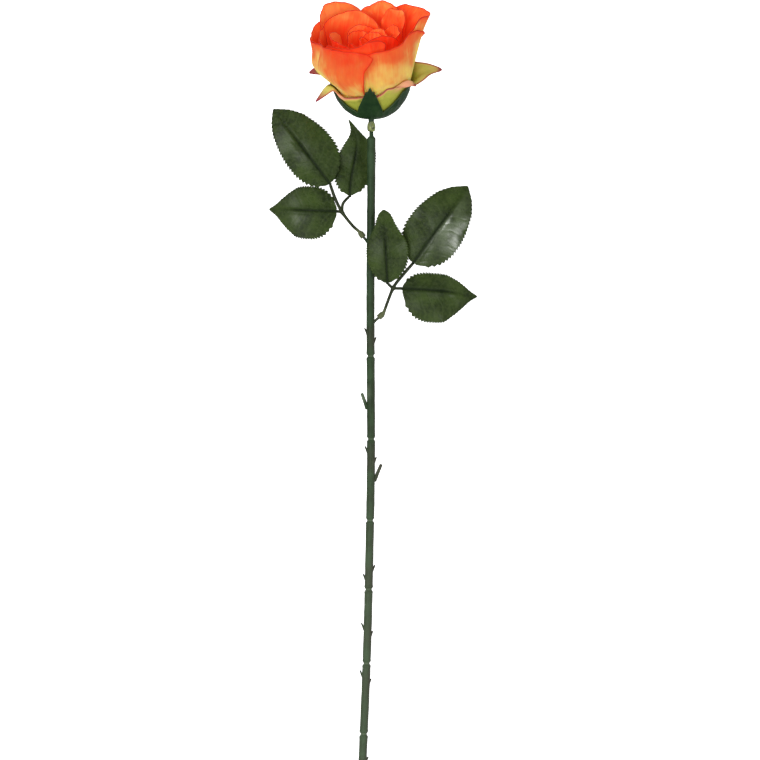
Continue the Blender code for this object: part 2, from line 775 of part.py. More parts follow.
def petal_grid(layer, root_azimuth, petal):
    """One petal: from the hub out along the bowl, up its belly and out at the rim, wider above than at the root."""
    columns, rows = layer["grid"]
    u = np.linspace(-1, 1, columns)[:, None] + np.zeros((1, rows))
    v = np.linspace(0, 1, rows)[None, :] + np.zeros((columns, 1))
    t = v * (1 - CORNER_CUT * np.abs(u) ** 5)
    rim_r, rim_z, belly = (across(u, *petal[key]) for key in ("rim_r", "rim_z", "belly"))
    bowl_r, bowl_z = [], []
    for degrees, least_radius, least_rise in BOWL_POINTS:
        r, z = in_ball(layer["inset"], degrees)
        bowl_r.append(max(r, least_radius))
        bowl_z.append(max(z, layer["hub"] + least_rise))
    low_belly = np.minimum((1 - BELLY_SHARE) * bowl_r[-1] + BELLY_SHARE * belly, LOW_BELLY)
    lean = petal.get("lean", LEAN)
    radius = through([layer["root"][0], *bowl_r, low_belly, belly, (1 - lean) * belly + lean * rim_r, rim_r], t)
    wall = [bowl_z[-1] + share * (rim_z - bowl_z[-1]) for share in BELLY_RISE]
    height = through([layer["hub"], *bowl_z, *wall, rim_z], t)
    roll = RIM_ROLL * np.clip((t - ROLL_START) / (1 - ROLL_START), 0, 1) ** 1.5
    out, up = np.diff(radius, axis=1), np.diff(height, axis=1)
    roll = (roll[:, 1:] + roll[:, :-1]) / 2
    radius[:, 1:] = radius[:, :1] + np.cumsum(out * np.cos(roll) + up * np.sin(roll), axis=1)
    height[:, 1:] = height[:, :1] + np.cumsum(up * np.cos(roll) - out * np.sin(roll), axis=1)
    radius = radius + across(u, *petal.get("edges", LAP)) * eased(v, *LAP_ROWS)
    root_azimuth, root_span = petal.get("root", (root_azimuth, ROOT_SPREAD / len(layer["petals"])))
    half = root_span + (petal["span"] - root_span) * eased(v, *WIDENING_ROWS)
    middle = root_azimuth + (petal["az"] - root_azimuth) * eased(v, *SWING_ROWS)
    flare = petal.get("flare", 0) * (1 + u) * eased(v, ROLL_START, 1.0)
    return polar_grid(radius, middle + half * u + flare, height)


def petal_layer(layer, room, finish):
    """A layer's hub ring with its petals, bent clear of the layers outside it."""
    petals = layer["petals"]
    step = 360 / len(petals)
    start = np.mean([petal["az"] - step * k for k, petal in enumerate(petals)])
    grids = [bent_clear(room, petal_grid(layer, start + step * k, petal)) for k, petal in enumerate(petals)]
    pieces = [hub_ring(layer["name"] + "_hub", layer["hub"], layer["root"][1], finish)]
    for k, grid in enumerate(grids):
        take_room(room, grid)
        pieces.append(sheet(f"{layer['name']}_{k}", grid, WALL, finish))
    return place_in_bloom(fuse(layer["name"], pieces))


def hub_ring(name, height, edge, finish, sides=20):
    """A flat ring round the pin at the middle of a layer."""
    low, high = height - HUB_THICK / 2, height + HUB_THICK / 2
    profile = ((HUB_HOLE, low), (edge, low), (edge, high), (HUB_HOLE, high))
    points, faces = [], []
    for k in range(sides):
        turn = 2 * math.pi * (k + 0.5) / sides
        points += [(r * math.cos(turn), r * math.sin(turn), z) for r, z in profile]
        for j in range(4):
            a, b = k * 4 + j, k * 4 + (j + 1) % 4
            faces.append((a, b, (b + 4) % (4 * sides), (a + 4) % (4 * sides)))
    return solid(name, points, faces, finish)


def make_bloom(green, chartreuse, orange):
    room = new_room()
    calyx = calyx_grid()
    place_in_bloom(sheet("calyx", calyx, WALL, green, ring=True))
    take_room(room, np.concatenate([calyx, calyx[:1]]))
    guard = bent_inside(room, guard_grid(GUARD_COLUMNS, GUARD_ROWS))
    place_in_bloom(sheet("petals_guard", guard, WALL, chartreuse, ring=True))
    take_room(room, np.concatenate([guard, guard[:1]]))
    for layer in (OUTER, SECOND, MIDDLE, INNER, BUD):
        petal_layer(layer, room, orange)


def make_core(finish):
    """The knob under the bloom, with the pin that all the layers are threaded on and its riveted head."""
    axis = bloom_axis()
    head = PIN_TOP - PIN_HEAD_THICK
    knob = [(Vector(point), way, radius) for point, way, radius in KNOB_RINGS]
    outside = knob + [
        (bloom_point(PIN_START), axis, KNOB_FLARE),
        (bloom_point(PIN_START), axis, PIN_RADIUS),
        (bloom_point(head), axis, PIN_RADIUS),
        (bloom_point(head), axis, PIN_HEAD_RADIUS),
        (bloom_point(PIN_TOP), axis, PIN_HEAD_RADIUS),
    ]
    inside = [(point, way, SOCKET_RADIUS) for point, way, _ in knob[:2]]
    inside.append(((knob[1][0] + knob[2][0]) / 2, knob[2][1], SOCKET_RADIUS))
    return swept("flower_core", outside, inside, finish)


def stem_stations():
    """Rings of the stem's outside, with a groove at each joint of the moulding and the neck and peg at the top."""
    line = along(STEM_ROUTE, ROUTE_STEP)
    marks = [(STEM_FOOT, STEM_RADIUS)]
    marks += [(y, STEM_RADIUS) for y in PLAIN_RINGS_Y]
    for y in GROOVES_Y:
        marks += [(y + side * GROOVE_REACH, STEM_RADIUS) for side in (-1, 1)]
        marks += [(y + side * GROOVE_HALF_WIDTH, STEM_RADIUS - GROOVE_DEPTH) for side in (-1, 1)]
    marks += SHOULDER
    return [(stem_point(line, y), (0, 1, stem_slope(y)), radius) for y, radius in sorted(marks)]


def stem_point(line, y):
    return Vector((np.interp(y, line[:, 1], line[:, 0]), y, np.interp(y, line[:, 1], line[:, 2])))


def stem_slope(y):
    return STEM_SLOPE if y < NECK_START else NECK_SLOPE


def make_stem(finish, steel):
    line = along(STEM_ROUTE, ROUTE_STEP)
    bore = WIRE_RADIUS + FIT
    wire_ys = np.linspace(STEM_FOOT, BORE_END, WIRE_RINGS)
    inside = [(stem_point(line, y), (0, 1, stem_slope(y)), bore) for y in wire_ys]
    stem = swept("stem_body", stem_stations(), inside, finish)
    pieces = [stem]
    for y, side, length in THORNS:
        reach = (STEM_RADIUS + length) / THORN_OUT
        foot = stem_point(line, y - THORN_RISE * reach)
        way = (side * THORN_OUT, THORN_RISE, 0)
        pieces.append(stub(f"thorn_{y}", foot, way, reach - STEM_RADIUS, THORN_ROOT, THORN_TIP, finish))
    for y, lean, length in BARE_PEGS:
        way = (lean, BARE_PEG_RISE, 0)
        pieces.append(stub(f"peg_{y}", stem_point(line, y), way, length, BARE_PEG_ROOT, BARE_PEG_TIP, finish))
    for stalk in STALKS.values():
        pieces.append(
            stub("stalk_peg", Vector(stalk["root"]), stalk["way"], STALK_PEG_LENGTH, STALK_PEG_RADIUS, STALK_PEG_RADIUS, finish)
        )
    fuse("stem", pieces)
    wire_ys[0] -= FIT
    wire_ys[-1] -= FIT
    wire = [(stem_point(line, y), (0, 1, stem_slope(y)), WIRE_RADIUS) for y in wire_ys]
    swept("stem_wire", wire, [], steel)


def stub(name, centre, way, length, base_radius, tip_radius, finish):
    """A short peg out of the stem: rooted between the bore and the surface, length past the surface."""
    way = Vector(way).normalized()
    clear_of_bore = WIRE_RADIUS + BORE_MARGIN + base_radius * way.y
    start = centre + way * clear_of_bore / math.hypot(way.x, way.z)
    rings = [
        (start, way, base_radius),
        (centre + way * (STEM_RADIUS + length), way, tip_radius),
    ]
    return swept(name, rings, [], finish, STUB_SIDES)


def facing(points, k):
    """The direction of a route at point k."""
    return Vector(points[min(k + 1, len(points) - 1)] - points[max(k - 1, 0)])


def make_stalk(name, stalk, finish):
    """A leaf stalk: a sleeve over the stem's peg, the rachis, and a side branch to each lower leaflet."""
    way = Vector(stalk["way"]).normalized()
    mouth = Vector(stalk["root"]) + way * SLEEVE_START
    sleeve_end = mouth + way * SLEEVE_LENGTH
    rachis = along([tuple(sleeve_end), *stalk["route"]], RACHIS_STEP)
    outside = [
        (mouth, way, SLEEVE_MOUTH),
        (mouth + way * SLEEVE_SWELL, way, SLEEVE_RADIUS),
        (sleeve_end, way, SLEEVE_END),
    ]
    outside += [(Vector(p), facing(rachis, k + 1), STALK_RADIUS) for k, p in enumerate(rachis[1:])]
    hole = STALK_PEG_RADIUS + FIT
    inside = [(mouth, way, hole), (mouth + way * SLEEVE_DEPTH, way, hole)]
    pieces = [swept(name + "_rachis", outside, inside, finish, STUB_SIDES)]
    for k, branch in enumerate(stalk["branches"]):
        line = along(branch, BRANCH_STEP)
        rings = [(Vector(p), facing(line, j), BRANCH_RADIUS) for j, p in enumerate(line)]
        pieces.append(swept(f"{name}_branch_{k}", rings, [], finish, STUB_SIDES))
    return fuse(name, pieces)


def leaflet_grid(leaf):
    """A serrated leaf blade: rows across the rib, each alternate row ending in a notch."""
    base, tip = np.array(leaf["base"]), np.array(leaf["tip"])
    rows = 2 * LEAF_TEETH + 1
    v = np.linspace(0, 1, rows)[None, :]
    u = np.linspace(-1, 1, LEAF_COLUMNS)[:, None]
    run = tip - base
    length = np.linalg.norm(run)
    forward = run / length
    side = np.cross([0, 0, 1], forward)
    side = side / np.linalg.norm(side)
    up = np.cross(forward, side)
    roll = math.radians(leaf["roll"])
    side, up = side * math.cos(roll) + up * math.sin(roll), up * math.cos(roll) - side * math.sin(roll)
    stops, shares = zip(*leaf["shape"])
    share = np.interp(v, stops, shares)
    reach = np.where(u > 0, leaf["left"], leaf["right"]) * share
    notch = (np.arange(rows) % 2 == 0)[None, :] * TOOTH * np.minimum(share * 2, 1)
    reach = np.where(np.abs(u) == 1, np.maximum(reach - notch, LEAST_REACH), reach)
    offset = u * reach
    lean = ROW_LEAN * np.abs(offset) * (1 - v) * share
    lift = leaf["arch"] * np.sin(math.pi * v) - LEAF_DROOP * offset**2
    bow = leaf.get("bow", 0) * np.sin(math.pi * v**BOW_POWER)
    return base + forward * (v * length + lean)[..., None] + side * (offset + bow)[..., None] + up * lift[..., None]


def clear_scene():
    for thing in list(bpy.data.objects):
        bpy.data.objects.remove(thing)


clear_scene()
green_plastic = material("green_plastic", STEM_GREEN, 0.55)
make_stem(green_plastic, material("steel_wire", STEEL, 0.35, 1.0))
make_core(material("olive_plastic", OLIVE, 0.5))
make_bloom(
    material("calyx_plastic", CALYX_GREEN, 0.5),
    material("guard_fabric", CHARTREUSE, 0.8),
    material("petal_fabric", ORANGE, 0.8),
)
stalk_plastic = material("stalk_plastic", STALK_GREEN, 0.55)
for stalk_name, stalk_shape in STALKS.items():
    make_stalk(stalk_name, stalk_shape, stalk_plastic)
leaf_fabric = material("leaf_fabric", LEAF_GREEN, 0.5)
for leaf_name, leaf_shape in LEAFLETS.items():
    sheet(leaf_name, leaflet_grid(leaf_shape), WALL, leaf_fabric)
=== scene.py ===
"""The looks of an artificial rose that lies on a table: moulded stem, toothed calyx, dyed fabric petals and
coated fabric leaves. +Y runs along the stem towards the bloom, and the camera looks straight down."""

import math

import bpy
import numpy as np
from mathutils import Matrix, Vector


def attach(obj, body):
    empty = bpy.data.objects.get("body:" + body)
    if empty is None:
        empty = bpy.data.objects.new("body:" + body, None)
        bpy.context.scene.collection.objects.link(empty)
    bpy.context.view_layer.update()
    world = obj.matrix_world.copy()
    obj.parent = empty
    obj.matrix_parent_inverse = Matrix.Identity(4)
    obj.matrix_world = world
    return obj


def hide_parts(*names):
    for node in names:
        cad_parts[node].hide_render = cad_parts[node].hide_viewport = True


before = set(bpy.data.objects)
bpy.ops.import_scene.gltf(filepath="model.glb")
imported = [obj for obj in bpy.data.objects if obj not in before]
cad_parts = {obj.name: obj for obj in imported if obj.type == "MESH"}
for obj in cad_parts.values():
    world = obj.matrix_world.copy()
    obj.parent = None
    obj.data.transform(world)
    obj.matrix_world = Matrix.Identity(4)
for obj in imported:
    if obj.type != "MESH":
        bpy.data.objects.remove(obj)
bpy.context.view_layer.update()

# The camera hangs high over the table with a long lens, so that the rose shows with almost no perspective.
# The table is a plain pale sheet, wide enough to fill the view from any side.
MM = 0.001
VIEW_WIDTH = 0.532
VIEW_HEIGHT_ABOVE = 8.0
VIEW_PLANE = 0.012
VIEW_CENTRE = (0.0047, 0.0105)
SENSOR = 36.0
VIEW_DEPTH = 40.0

camera_data = bpy.data.cameras.new("camera")
camera_data.sensor_width = SENSOR
camera_data.lens = SENSOR * (VIEW_HEIGHT_ABOVE - VIEW_PLANE) / VIEW_WIDTH
camera_data.clip_end = VIEW_DEPTH
camera = bpy.data.objects.new("camera", camera_data)
camera.location = (*VIEW_CENTRE, VIEW_HEIGHT_ABOVE)
bpy.context.scene.collection.objects.link(camera)
bpy.context.scene.camera = camera


def new_material(name):
    """A material and its node tree, which holds a Principled shader."""
    made = bpy.data.materials.new(name)
    made.use_nodes = True
    return made, made.node_tree


def fed(tree, socket, value):
    """Sets a socket to a number or a colour, or links it to an output."""
    if isinstance(value, (int, float, tuple)):
        socket.default_value = value
    else:
        tree.links.new(value, socket)


def fed_by_name(tree, node, values):
    for name, value in values.items():
        fed(tree, node.inputs[name.replace("_", " ")], value)
    return node


def new_node(tree, kind, **values):
    """A shader node whose sockets are set or linked by their names."""
    return fed_by_name(tree, tree.nodes.new("ShaderNode" + kind), values)


def painted(tree, **values):
    """Sets or links sockets of a material's Principled shader by their names."""
    fed_by_name(tree, tree.nodes["Principled BSDF"], values)


TABLE_SIZE = 30.0
TABLE_BELOW = 0.0004
TABLE_WHITE = (0.90, 0.90, 0.90, 1)

table_mesh = bpy.data.meshes.new("table_top")
half = TABLE_SIZE / 2
table_corners = [(-half, -half, 0), (half, -half, 0), (half, half, 0), (-half, half, 0)]
table_mesh.from_pydata(table_corners, [], [(0, 1, 2, 3)])
table = bpy.data.objects.new("table_top", table_mesh)
table.location.z = -TABLE_BELOW
bpy.context.scene.collection.objects.link(table)
table_paint, table_tree = new_material("table_paint")
seen = new_node(table_tree, "LightPath").outputs["Is Camera Ray"]
painted(table_tree, Base_Color=TABLE_WHITE, Roughness=0.8)
painted(table_tree, Emission_Color=(1, 1, 1, 1), Emission_Strength=seen)
table_mesh.materials.append(table_paint)

# The stem is one moulding of dull green plastic over a steel wire, with thorns and two bare pegs. The joints
# of its mould ring it, rubbed pale. A slimmer neck and peg plug into the bloom's knob.
STEM_RADIUS = 2.9
NECK_RADIUS = 1.5
PEG_RADIUS = 1.45
WIRE_RADIUS = 0.8
FIT = 0.3
STEM_FOOT = -275.6
BORE_END = 176.0
STEM_SLOPE = 0.018
NECK_SLOPE = 0.17
NECK_START = 181.0
STEM_SIDES = 28
RING_STEP = 4.0
WIRE_RINGS = 40
STEM_ROUTE = (
    (-8.3, STEM_FOOT, 2.95),
    (-7.2, -248.5, 3.4),
    (-4.4, -178.5, 4.7),
    (-2.7, -108.5, 5.9),
    (-1.6, -38.5, 7.2),
    (-2.0, 66.5, 9.0),
    (-1.4, 150.0, 10.7),
    (-1.3, 180.0, 11.2),
    (-1.4, 184.8, 11.7),
    (-1.4, 188.5, 12.4),
)
# The shoulder, neck and peg: y and radius.
SHOULDER = (
    (179.0, 2.95),
    (179.8, 2.85),
    (180.4, 2.45),
    (180.9, 1.8),
    (181.4, NECK_RADIUS),
    (184.4, NECK_RADIUS),
    (184.45, PEG_RADIUS),
    (188.2, 1.4),
)
# A mould joint is a pinched line between two low ridges.
GROOVES_Y = (27.3, -30.8, -87.9, -136.1, -188.0, -237.5)
GROOVE_DEPTH = 0.8
GROOVE_HALF_WIDTH = 1.0
GROOVE_RINGS = np.linspace(-3, 3, 25)
RIDGE_HEIGHT = 0.18
RIDGE_AT = 2.0
RIDGE_HALF_WIDTH = 0.7
# The stem's unevenness: height, radians a millimetre and phase of its waves.
STEM_WAVES = ((0.05, 0.31, 0), (0.04, 0.83, 1))
# Thorns: y along the stem, side (-1 left, 1 right), length out of the stem. Each lies close along the stem.
THORNS = (
    (47.0, -1, 1.3),
    (40.6, 1, 1.0),
    (-35.7, -1, 1.4),
    (-43.4, 1, 1.0),
    (-119.0, 1, 1.4),
    (-125.3, -1, 1.0),
    (-159.6, -1, 1.4),
    (-165.2, 1, 1.0),
    (-192.8, -1, 1.3),
    (-198.8, 1, 1.0),
    (-253.4, 1, 1.3),
)
THORN_ROOT = 0.9
THORN_TIP = 0.5
THORN_OUT = 0.42
THORN_RISE = 0.91
# Bare pegs: y where they leave the stem's middle, lean to the side, length out of the stem.
BARE_PEGS = ((-17.0, -0.33, 16.6), (-66.3, 0.39, 16.5))
BARE_PEG_ROOT = 1.35
BARE_PEG_TIP = 1.1
BARE_PEG_RISE = 0.93
# Pegs for the leaf stalks: root and direction.
STALK_PEGS = (((-1.8, 104.3, 9.7), (-0.62, 0.78, 0.0)), ((-1.9, 49.0, 8.7), (0.72, 0.66, 0.2)))
STALK_PEG_RADIUS = 0.95
STALK_PEG_LENGTH = 7.4
STUB_SIDES = 14
STUB_FLARE = 1.1
STUB_RINGS = (0.35, 0.6, 0.8)
STUB_ROUNDING = 0.25
STUB_END = 0.6
BORE_MARGIN = 1.5 * FIT
STEM_HIGH = (0.014, 0.030, 0.009, 1)
STEM_LOW = (0.033, 0.066, 0.028, 1)
STEM_RUBBED = (0.16, 0.20, 0.13, 1)
# The brown of the stains beside the thorns, also used as painted shade down the stem's right side.
STEM_STAIN_AND_SHADE = (0.050, 0.040, 0.030, 1)
# How strong each wear, stain and the painted shade down the right side is, and over which y, widths or
# distances in mm it fades.
FADED_FOOT = 0.22
FADED_Y = (-150, 20)
RUBBED_GROOVE = 0.3
RUBBED_GROOVE_WIDTH = 0.8
RUBBED_PEG = 0.5
RUBBED_PEG_REACH = (4, 9)
# Painted shade: a brown tint down the stem's right side, where shade falls.
SIDE_PAINTED_SHADE = 0.45
SIDE_PAINTED_SHADE_FROM = (0.8, 2.8)
THORN_STAIN = 0.35
THORN_STAIN_REACH = 5


def through(knots, t):
    """The smooth curve through knots, which may each be an array, at t from 0 to 1."""
    last = len(knots) - 1
    place = np.clip(t, 0, 1) * last
    i = np.minimum(place.astype(int), last - 1)
    f = place - i
    stack = np.stack([np.broadcast_to(knot, t.shape) for knot in knots])

    def at(j):
        return np.take_along_axis(stack, np.clip(j, 0, last)[None], 0)[0]

    p1, p2 = at(i), at(i + 1)
    p0 = np.where(i > 0, at(i - 1), 2 * p1 - p2)
    p3 = np.where(i < last - 1, at(i + 2), 2 * p2 - p1)
    bend = (2 * p0 - 5 * p1 + 4 * p2 - p3) * f**2 + (3 * p1 - p0 - 3 * p2 + p3) * f**3
    return 0.5 * (2 * p1 + (p2 - p0) * f + bend)


def eased(x, low, high):
    t = np.clip((x - low) / (high - low), 0, 1)
    return t * t * (3 - 2 * t)


def bell(x, width):
    return np.exp(-((x / width) ** 2))


def along(points, step):
    """Points about step apart on the smooth curve through the given ones."""
    points = np.array(points, float)
    count = max(2, round(np.linalg.norm(np.diff(points, axis=0), axis=1).sum() / step))
    t = np.linspace(0, 1, count + 1)
    return np.stack([through(list(points[:, k]), t) for k in range(3)], axis=-1)


def new_piece(name, points, faces, finish, node, slot, marks=None):
    """A smooth mesh object in place of a CAD node, from points in millimetres that carry named marks."""
    mesh = bpy.data.meshes.new(name)
    mesh.from_pydata((np.asarray(points, float) * MM).tolist(), [], faces)
    for mark, values in (marks or {}).items():
        layer = mesh.attributes.new(mark, "FLOAT", "POINT")
        layer.data.foreach_set("value", np.asarray(values, np.float32).ravel())
    mesh.shade_smooth()
    mesh.materials.append(finish)
    made = bpy.data.objects.new(name, mesh)
    bpy.context.scene.collection.objects.link(made)
    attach(made, "root")
    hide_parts(node)
    return made


def rings_of(stations, sides):
    """Points of the rings (centre, direction, radius), and the faces between them."""
    points, faces = [], []
    for centre, way, radius in stations:
        way = Vector(way).normalized()
        side = way.cross(Vector((0, 0, 1))).normalized()
        lift = side.cross(way)
        for k in range(sides):
            turn = 2 * math.pi * k / sides
            points.append(tuple(Vector(centre) + (side * math.cos(turn) + lift * math.sin(turn)) * radius))
    for row in range(len(stations) - 1):
        for k in range(sides):
            a, b = row * sides + k, row * sides + (k + 1) % sides
            faces.append((b, a, a + sides, b + sides))
    return points, faces


def swept(stations, sides, inside=()):
    """Points and faces of a closed rod through the stations, or of a tube where an inside is given."""
    points, faces = rings_of(stations, sides)
    count = len(points)
    faces.append(tuple(count - sides + k for k in range(sides))[::-1])
    if inside:
        more, turned = rings_of(inside, sides)
        points += more
        faces += [tuple(count + i for i in face)[::-1] for face in turned]
        faces.append(tuple(len(points) - sides + k for k in range(sides)))
        faces += [(k, (k + 1) % sides, count + (k + 1) % sides, count + k) for k in range(sides)]
    else:
        faces.append(tuple(range(sides)))
    return points, faces


def joined(parts):
    """Points and faces of several shapes as one list of each."""
    points, faces = [], []
    for some_points, some_faces in parts:
        faces += [tuple(len(points) + i for i in face) for face in some_faces]
        points += list(some_points)
    return points, faces


def stub(centre, way, length, base_radius, tip_radius):
    """A rounded peg out of the stem, rooted inside it."""
    way = Vector(way).normalized()
    centre = Vector(centre)
    clear_of_bore = WIRE_RADIUS + BORE_MARGIN + base_radius * way.y
    start = centre + way * clear_of_bore / math.hypot(way.x, way.z)
    end = centre + way * (STEM_RADIUS + length)
    stations = [(start, way, base_radius * STUB_FLARE)]
    for share in STUB_RINGS:
        stations.append((start.lerp(end, share), way, base_radius + (tip_radius - base_radius) * share))
    stations += [(end - way * STUB_ROUNDING, way, tip_radius), (end, way, tip_radius * STUB_END)]
    return swept(stations, STUB_SIDES)


def ranged(tree, value, low, high, to_low=0.0, to_high=1.0):
    """An output taken from one range to another, and held inside it."""
    node = new_node(tree, "MapRange")
    for socket, number in zip(node.inputs, (value, low, high, to_low, to_high)):
        fed(tree, socket, number)
    return node.outputs["Result"]


def computed(tree, operation, *terms):
    """The result of a math node on numbers and outputs."""
    node = new_node(tree, "Math")
    node.operation = operation
    for socket, term in zip(node.inputs, terms):
        fed(tree, socket, term)
    return node.outputs[0]


def new_group(name, inputs, outputs):
    """A shader group with number sockets, and its two end nodes."""
    group = bpy.data.node_groups.new(name, "ShaderNodeTree")
    for names, way in ((inputs, "INPUT"), (outputs, "OUTPUT")):
        for socket in names:
            group.interface.new_socket(socket, in_out=way, socket_type="NodeSocketFloat")
    return group, group.nodes.new("NodeGroupInput"), group.nodes.new("NodeGroupOutput")


def use_group(tree, group, **values):
    node = new_node(tree, "Group")
    node.node_tree = group
    return fed_by_name(tree, node, values)


def mottle_group():
    """Soft blotches, as Mask, and fine grain, as Grain, over a surface: both from 0 to 1."""
    group, given, out = new_group("mottle", ("Patch Scale", "Grain Scale"), ("Mask", "Grain"))
    place = new_node(group, "TexCoord").outputs["Object"]
    for source, target, detail in (("Patch Scale", "Mask", 4), ("Grain Scale", "Grain", 2)):
        noise = new_node(group, "TexNoise", Vector=place, Scale=given.outputs[source], Detail=detail)
        group.links.new(ranged(group, noise.outputs["Fac"], 0.35, 0.65), out.inputs[target])
    return group


def mixed(tree, share, first, second):
    """A colour between two colours or colour outputs, by a share output."""
    mix = new_node(tree, "Mix", Factor=share)
    mix.data_type = "RGBA"
    for socket, value in (("A", first), ("B", second)):
        fed(tree, next(s for s in mix.inputs if s.name == socket and s.type == "RGBA"), value)
    return next(s for s in mix.outputs if s.type == "RGBA")


def marked(tree, name):
    """The value of a mark that the mesh carries."""
    node = new_node(tree, "Attribute")
    node.attribute_name = name
    return node.outputs["Fac"]


def bumped(tree, height, distance, strength):
    """Fine relief on a material's shader from a height output."""
    bump = new_node(tree, "Bump", Height=height, Distance=distance, Strength=strength)
    painted(tree, Normal=bump.outputs["Normal"])


MOTTLE = mottle_group()
PLASTIC_GRAIN = 1400
GRAIN_DEPTH = 0.00008
POLISHED = 0.06
DULLED = 0.08


def moulded_plastic(name, dark, pale, roughness, wear_and_shade=None, gloss=0.16, patch=120.0, stain_and_shade_colour=None):
    """Moulded plastic: blotched between two tones, faintly grained, with the marks "wear_and_shade" (wear,
    and painted shade under the calyx on the knob) and "stain_and_shade" (stains, and painted shade down the
    stem's right side).
    """
    made, tree = new_material(name)
    mottle = use_group(tree, MOTTLE, Patch_Scale=patch, Grain_Scale=PLASTIC_GRAIN)
    colour = mixed(tree, mottle.outputs["Mask"], dark, pale)
    # Pale wear, and on the knob painted shade under the calyx.
    if wear_and_shade:
        colour = mixed(tree, marked(tree, "wear_and_shade"), colour, wear_and_shade)
    # Stains, and painted shade down the stem's right side.
    if stain_and_shade_colour:
        colour = mixed(tree, marked(tree, "stain_and_shade"), colour, stain_and_shade_colour)
    worn = ranged(tree, mottle.outputs["Mask"], 0, 1, roughness - POLISHED, roughness + DULLED)
    painted(tree, Base_Color=colour, Roughness=worn, Specular_IOR_Level=gloss)
    bumped(tree, mottle.outputs["Grain"], GRAIN_DEPTH, 0.6)
    return made


stem_line = along(STEM_ROUTE, 1.0)


def stem_ring(y, radius):
    """A station of the stem's line at y."""
    x, z = (np.interp(y, stem_line[:, 1], stem_line[:, k]) for k in (0, 2))
    return Vector((x, y, z)), (0, 1, STEM_SLOPE if y < NECK_START else NECK_SLOPE), radius


def groove_profile(distance):
    """Radius added at a distance along the stem from a mould joint."""
    pinch = -GROOVE_DEPTH * math.exp(-((distance / GROOVE_HALF_WIDTH) ** 2))
    return pinch + RIDGE_HEIGHT * math.exp(-(((abs(distance) - RIDGE_AT) / RIDGE_HALF_WIDTH) ** 2))


stem_ys = set(np.round(np.arange(STEM_FOOT, SHOULDER[0][0], RING_STEP), 2))
for groove_y in GROOVES_Y:
    stem_ys |= set(np.round(groove_y + GROOVE_RINGS, 2))
stem_stations = []
for y in sorted(stem_ys):
    radius = STEM_RADIUS + sum(groove_profile(y - groove_y) for groove_y in GROOVES_Y)
    for size, turn, phase in STEM_WAVES:
        radius += size * math.sin(y * turn + phase)
    stem_stations.append(stem_ring(y, radius))
stem_stations += [stem_ring(y, radius) for y, radius in SHOULDER]
bore = [stem_ring(y, WIRE_RADIUS + FIT) for y in np.linspace(STEM_FOOT, BORE_END, WIRE_RINGS)]
stem_parts = [swept(stem_stations, STEM_SIDES, bore)]
for y, side, length in THORNS:
    reach = (STEM_RADIUS + length) / THORN_OUT
    foot = stem_ring(y - THORN_RISE * reach, 0)[0]
    way = (side * THORN_OUT, THORN_RISE, 0)
    stem_parts.append(stub(foot, way, reach - STEM_RADIUS, THORN_ROOT, THORN_TIP))
peg_ends = []
for y, lean, length in BARE_PEGS:
    foot, way = stem_ring(y, 0)[0], (lean, BARE_PEG_RISE, 0)
    stem_parts.append(stub(foot, way, length, BARE_PEG_ROOT, BARE_PEG_TIP))
    peg_ends.append(foot + Vector(way).normalized() * (STEM_RADIUS + length))
for root, way in STALK_PEGS:
    stem_parts.append(stub(root, way, STALK_PEG_LENGTH, STALK_PEG_RADIUS, STALK_PEG_RADIUS))
stem_points, stem_faces = joined(stem_parts)
stem_spots = np.array([tuple(point) for point in stem_points])
stem_y = stem_spots[:, 1]
near_groove = np.min([np.abs(stem_y - groove_y) for groove_y in GROOVES_Y], axis=0)
wear_and_shade = RUBBED_GROOVE * bell(near_groove, RUBBED_GROOVE_WIDTH)
wear_and_shade = wear_and_shade + FADED_FOOT * (1 - eased(stem_y, *FADED_Y))
for peg_end in peg_ends:
    from_end = np.linalg.norm(stem_spots - np.array(peg_end), axis=1)
    wear_and_shade = np.maximum(wear_and_shade, RUBBED_PEG * (1 - eased(from_end, *RUBBED_PEG_REACH)))
right = stem_spots[:, 0] - np.interp(stem_y, stem_line[:, 1], stem_line[:, 0])
beside = np.min([np.abs(stem_y - y + THORN_STAIN_REACH) for y, _, _ in THORNS], axis=0)
# Painted shade down the stem's right side, and stains beside the thorns.
stain_and_shade = SIDE_PAINTED_SHADE * eased(right, *SIDE_PAINTED_SHADE_FROM)
stain_and_shade = stain_and_shade + THORN_STAIN * bell(beside, THORN_STAIN_REACH)
stem_marks = {"wear_and_shade": wear_and_shade, "stain_and_shade": stain_and_shade}
stem_plastic = moulded_plastic("stem_plastic", STEM_HIGH, STEM_LOW, 0.5, STEM_RUBBED, stain_and_shade_colour=STEM_STAIN_AND_SHADE)
new_piece("stem_moulding", stem_points, stem_faces, stem_plastic, "stem", "stem_plastic", stem_marks)

# The wire in the stem is plain drawn steel, cut square at the stem's end, where it just shows.
STEEL_DARK = (0.45, 0.45, 0.46, 1)
STEEL_PALE = (0.60, 0.60, 0.60, 1)
WIRE_SIDES = 16
wire_ys = np.linspace(STEM_FOOT, BORE_END, WIRE_RINGS)
wire_ys[0] -= FIT
wire_ys[-1] -= FIT
wire_stations = [stem_ring(y, WIRE_RADIUS) for y in wire_ys]
steel, steel_tree = new_material("drawn_steel")
drawn = use_group(steel_tree, MOTTLE, Patch_Scale=300, Grain_Scale=2500)
steel_colour = mixed(steel_tree, drawn.outputs["Mask"], STEEL_DARK, STEEL_PALE)
steel_rough = ranged(steel_tree, drawn.outputs["Grain"], 0, 1, 0.25, 0.4)
painted(steel_tree, Base_Color=steel_colour, Roughness=steel_rough, Metallic=1.0)
new_piece("stem_core_wire", *swept(wire_stations, WIRE_SIDES), steel, "stem_wire", "steel")

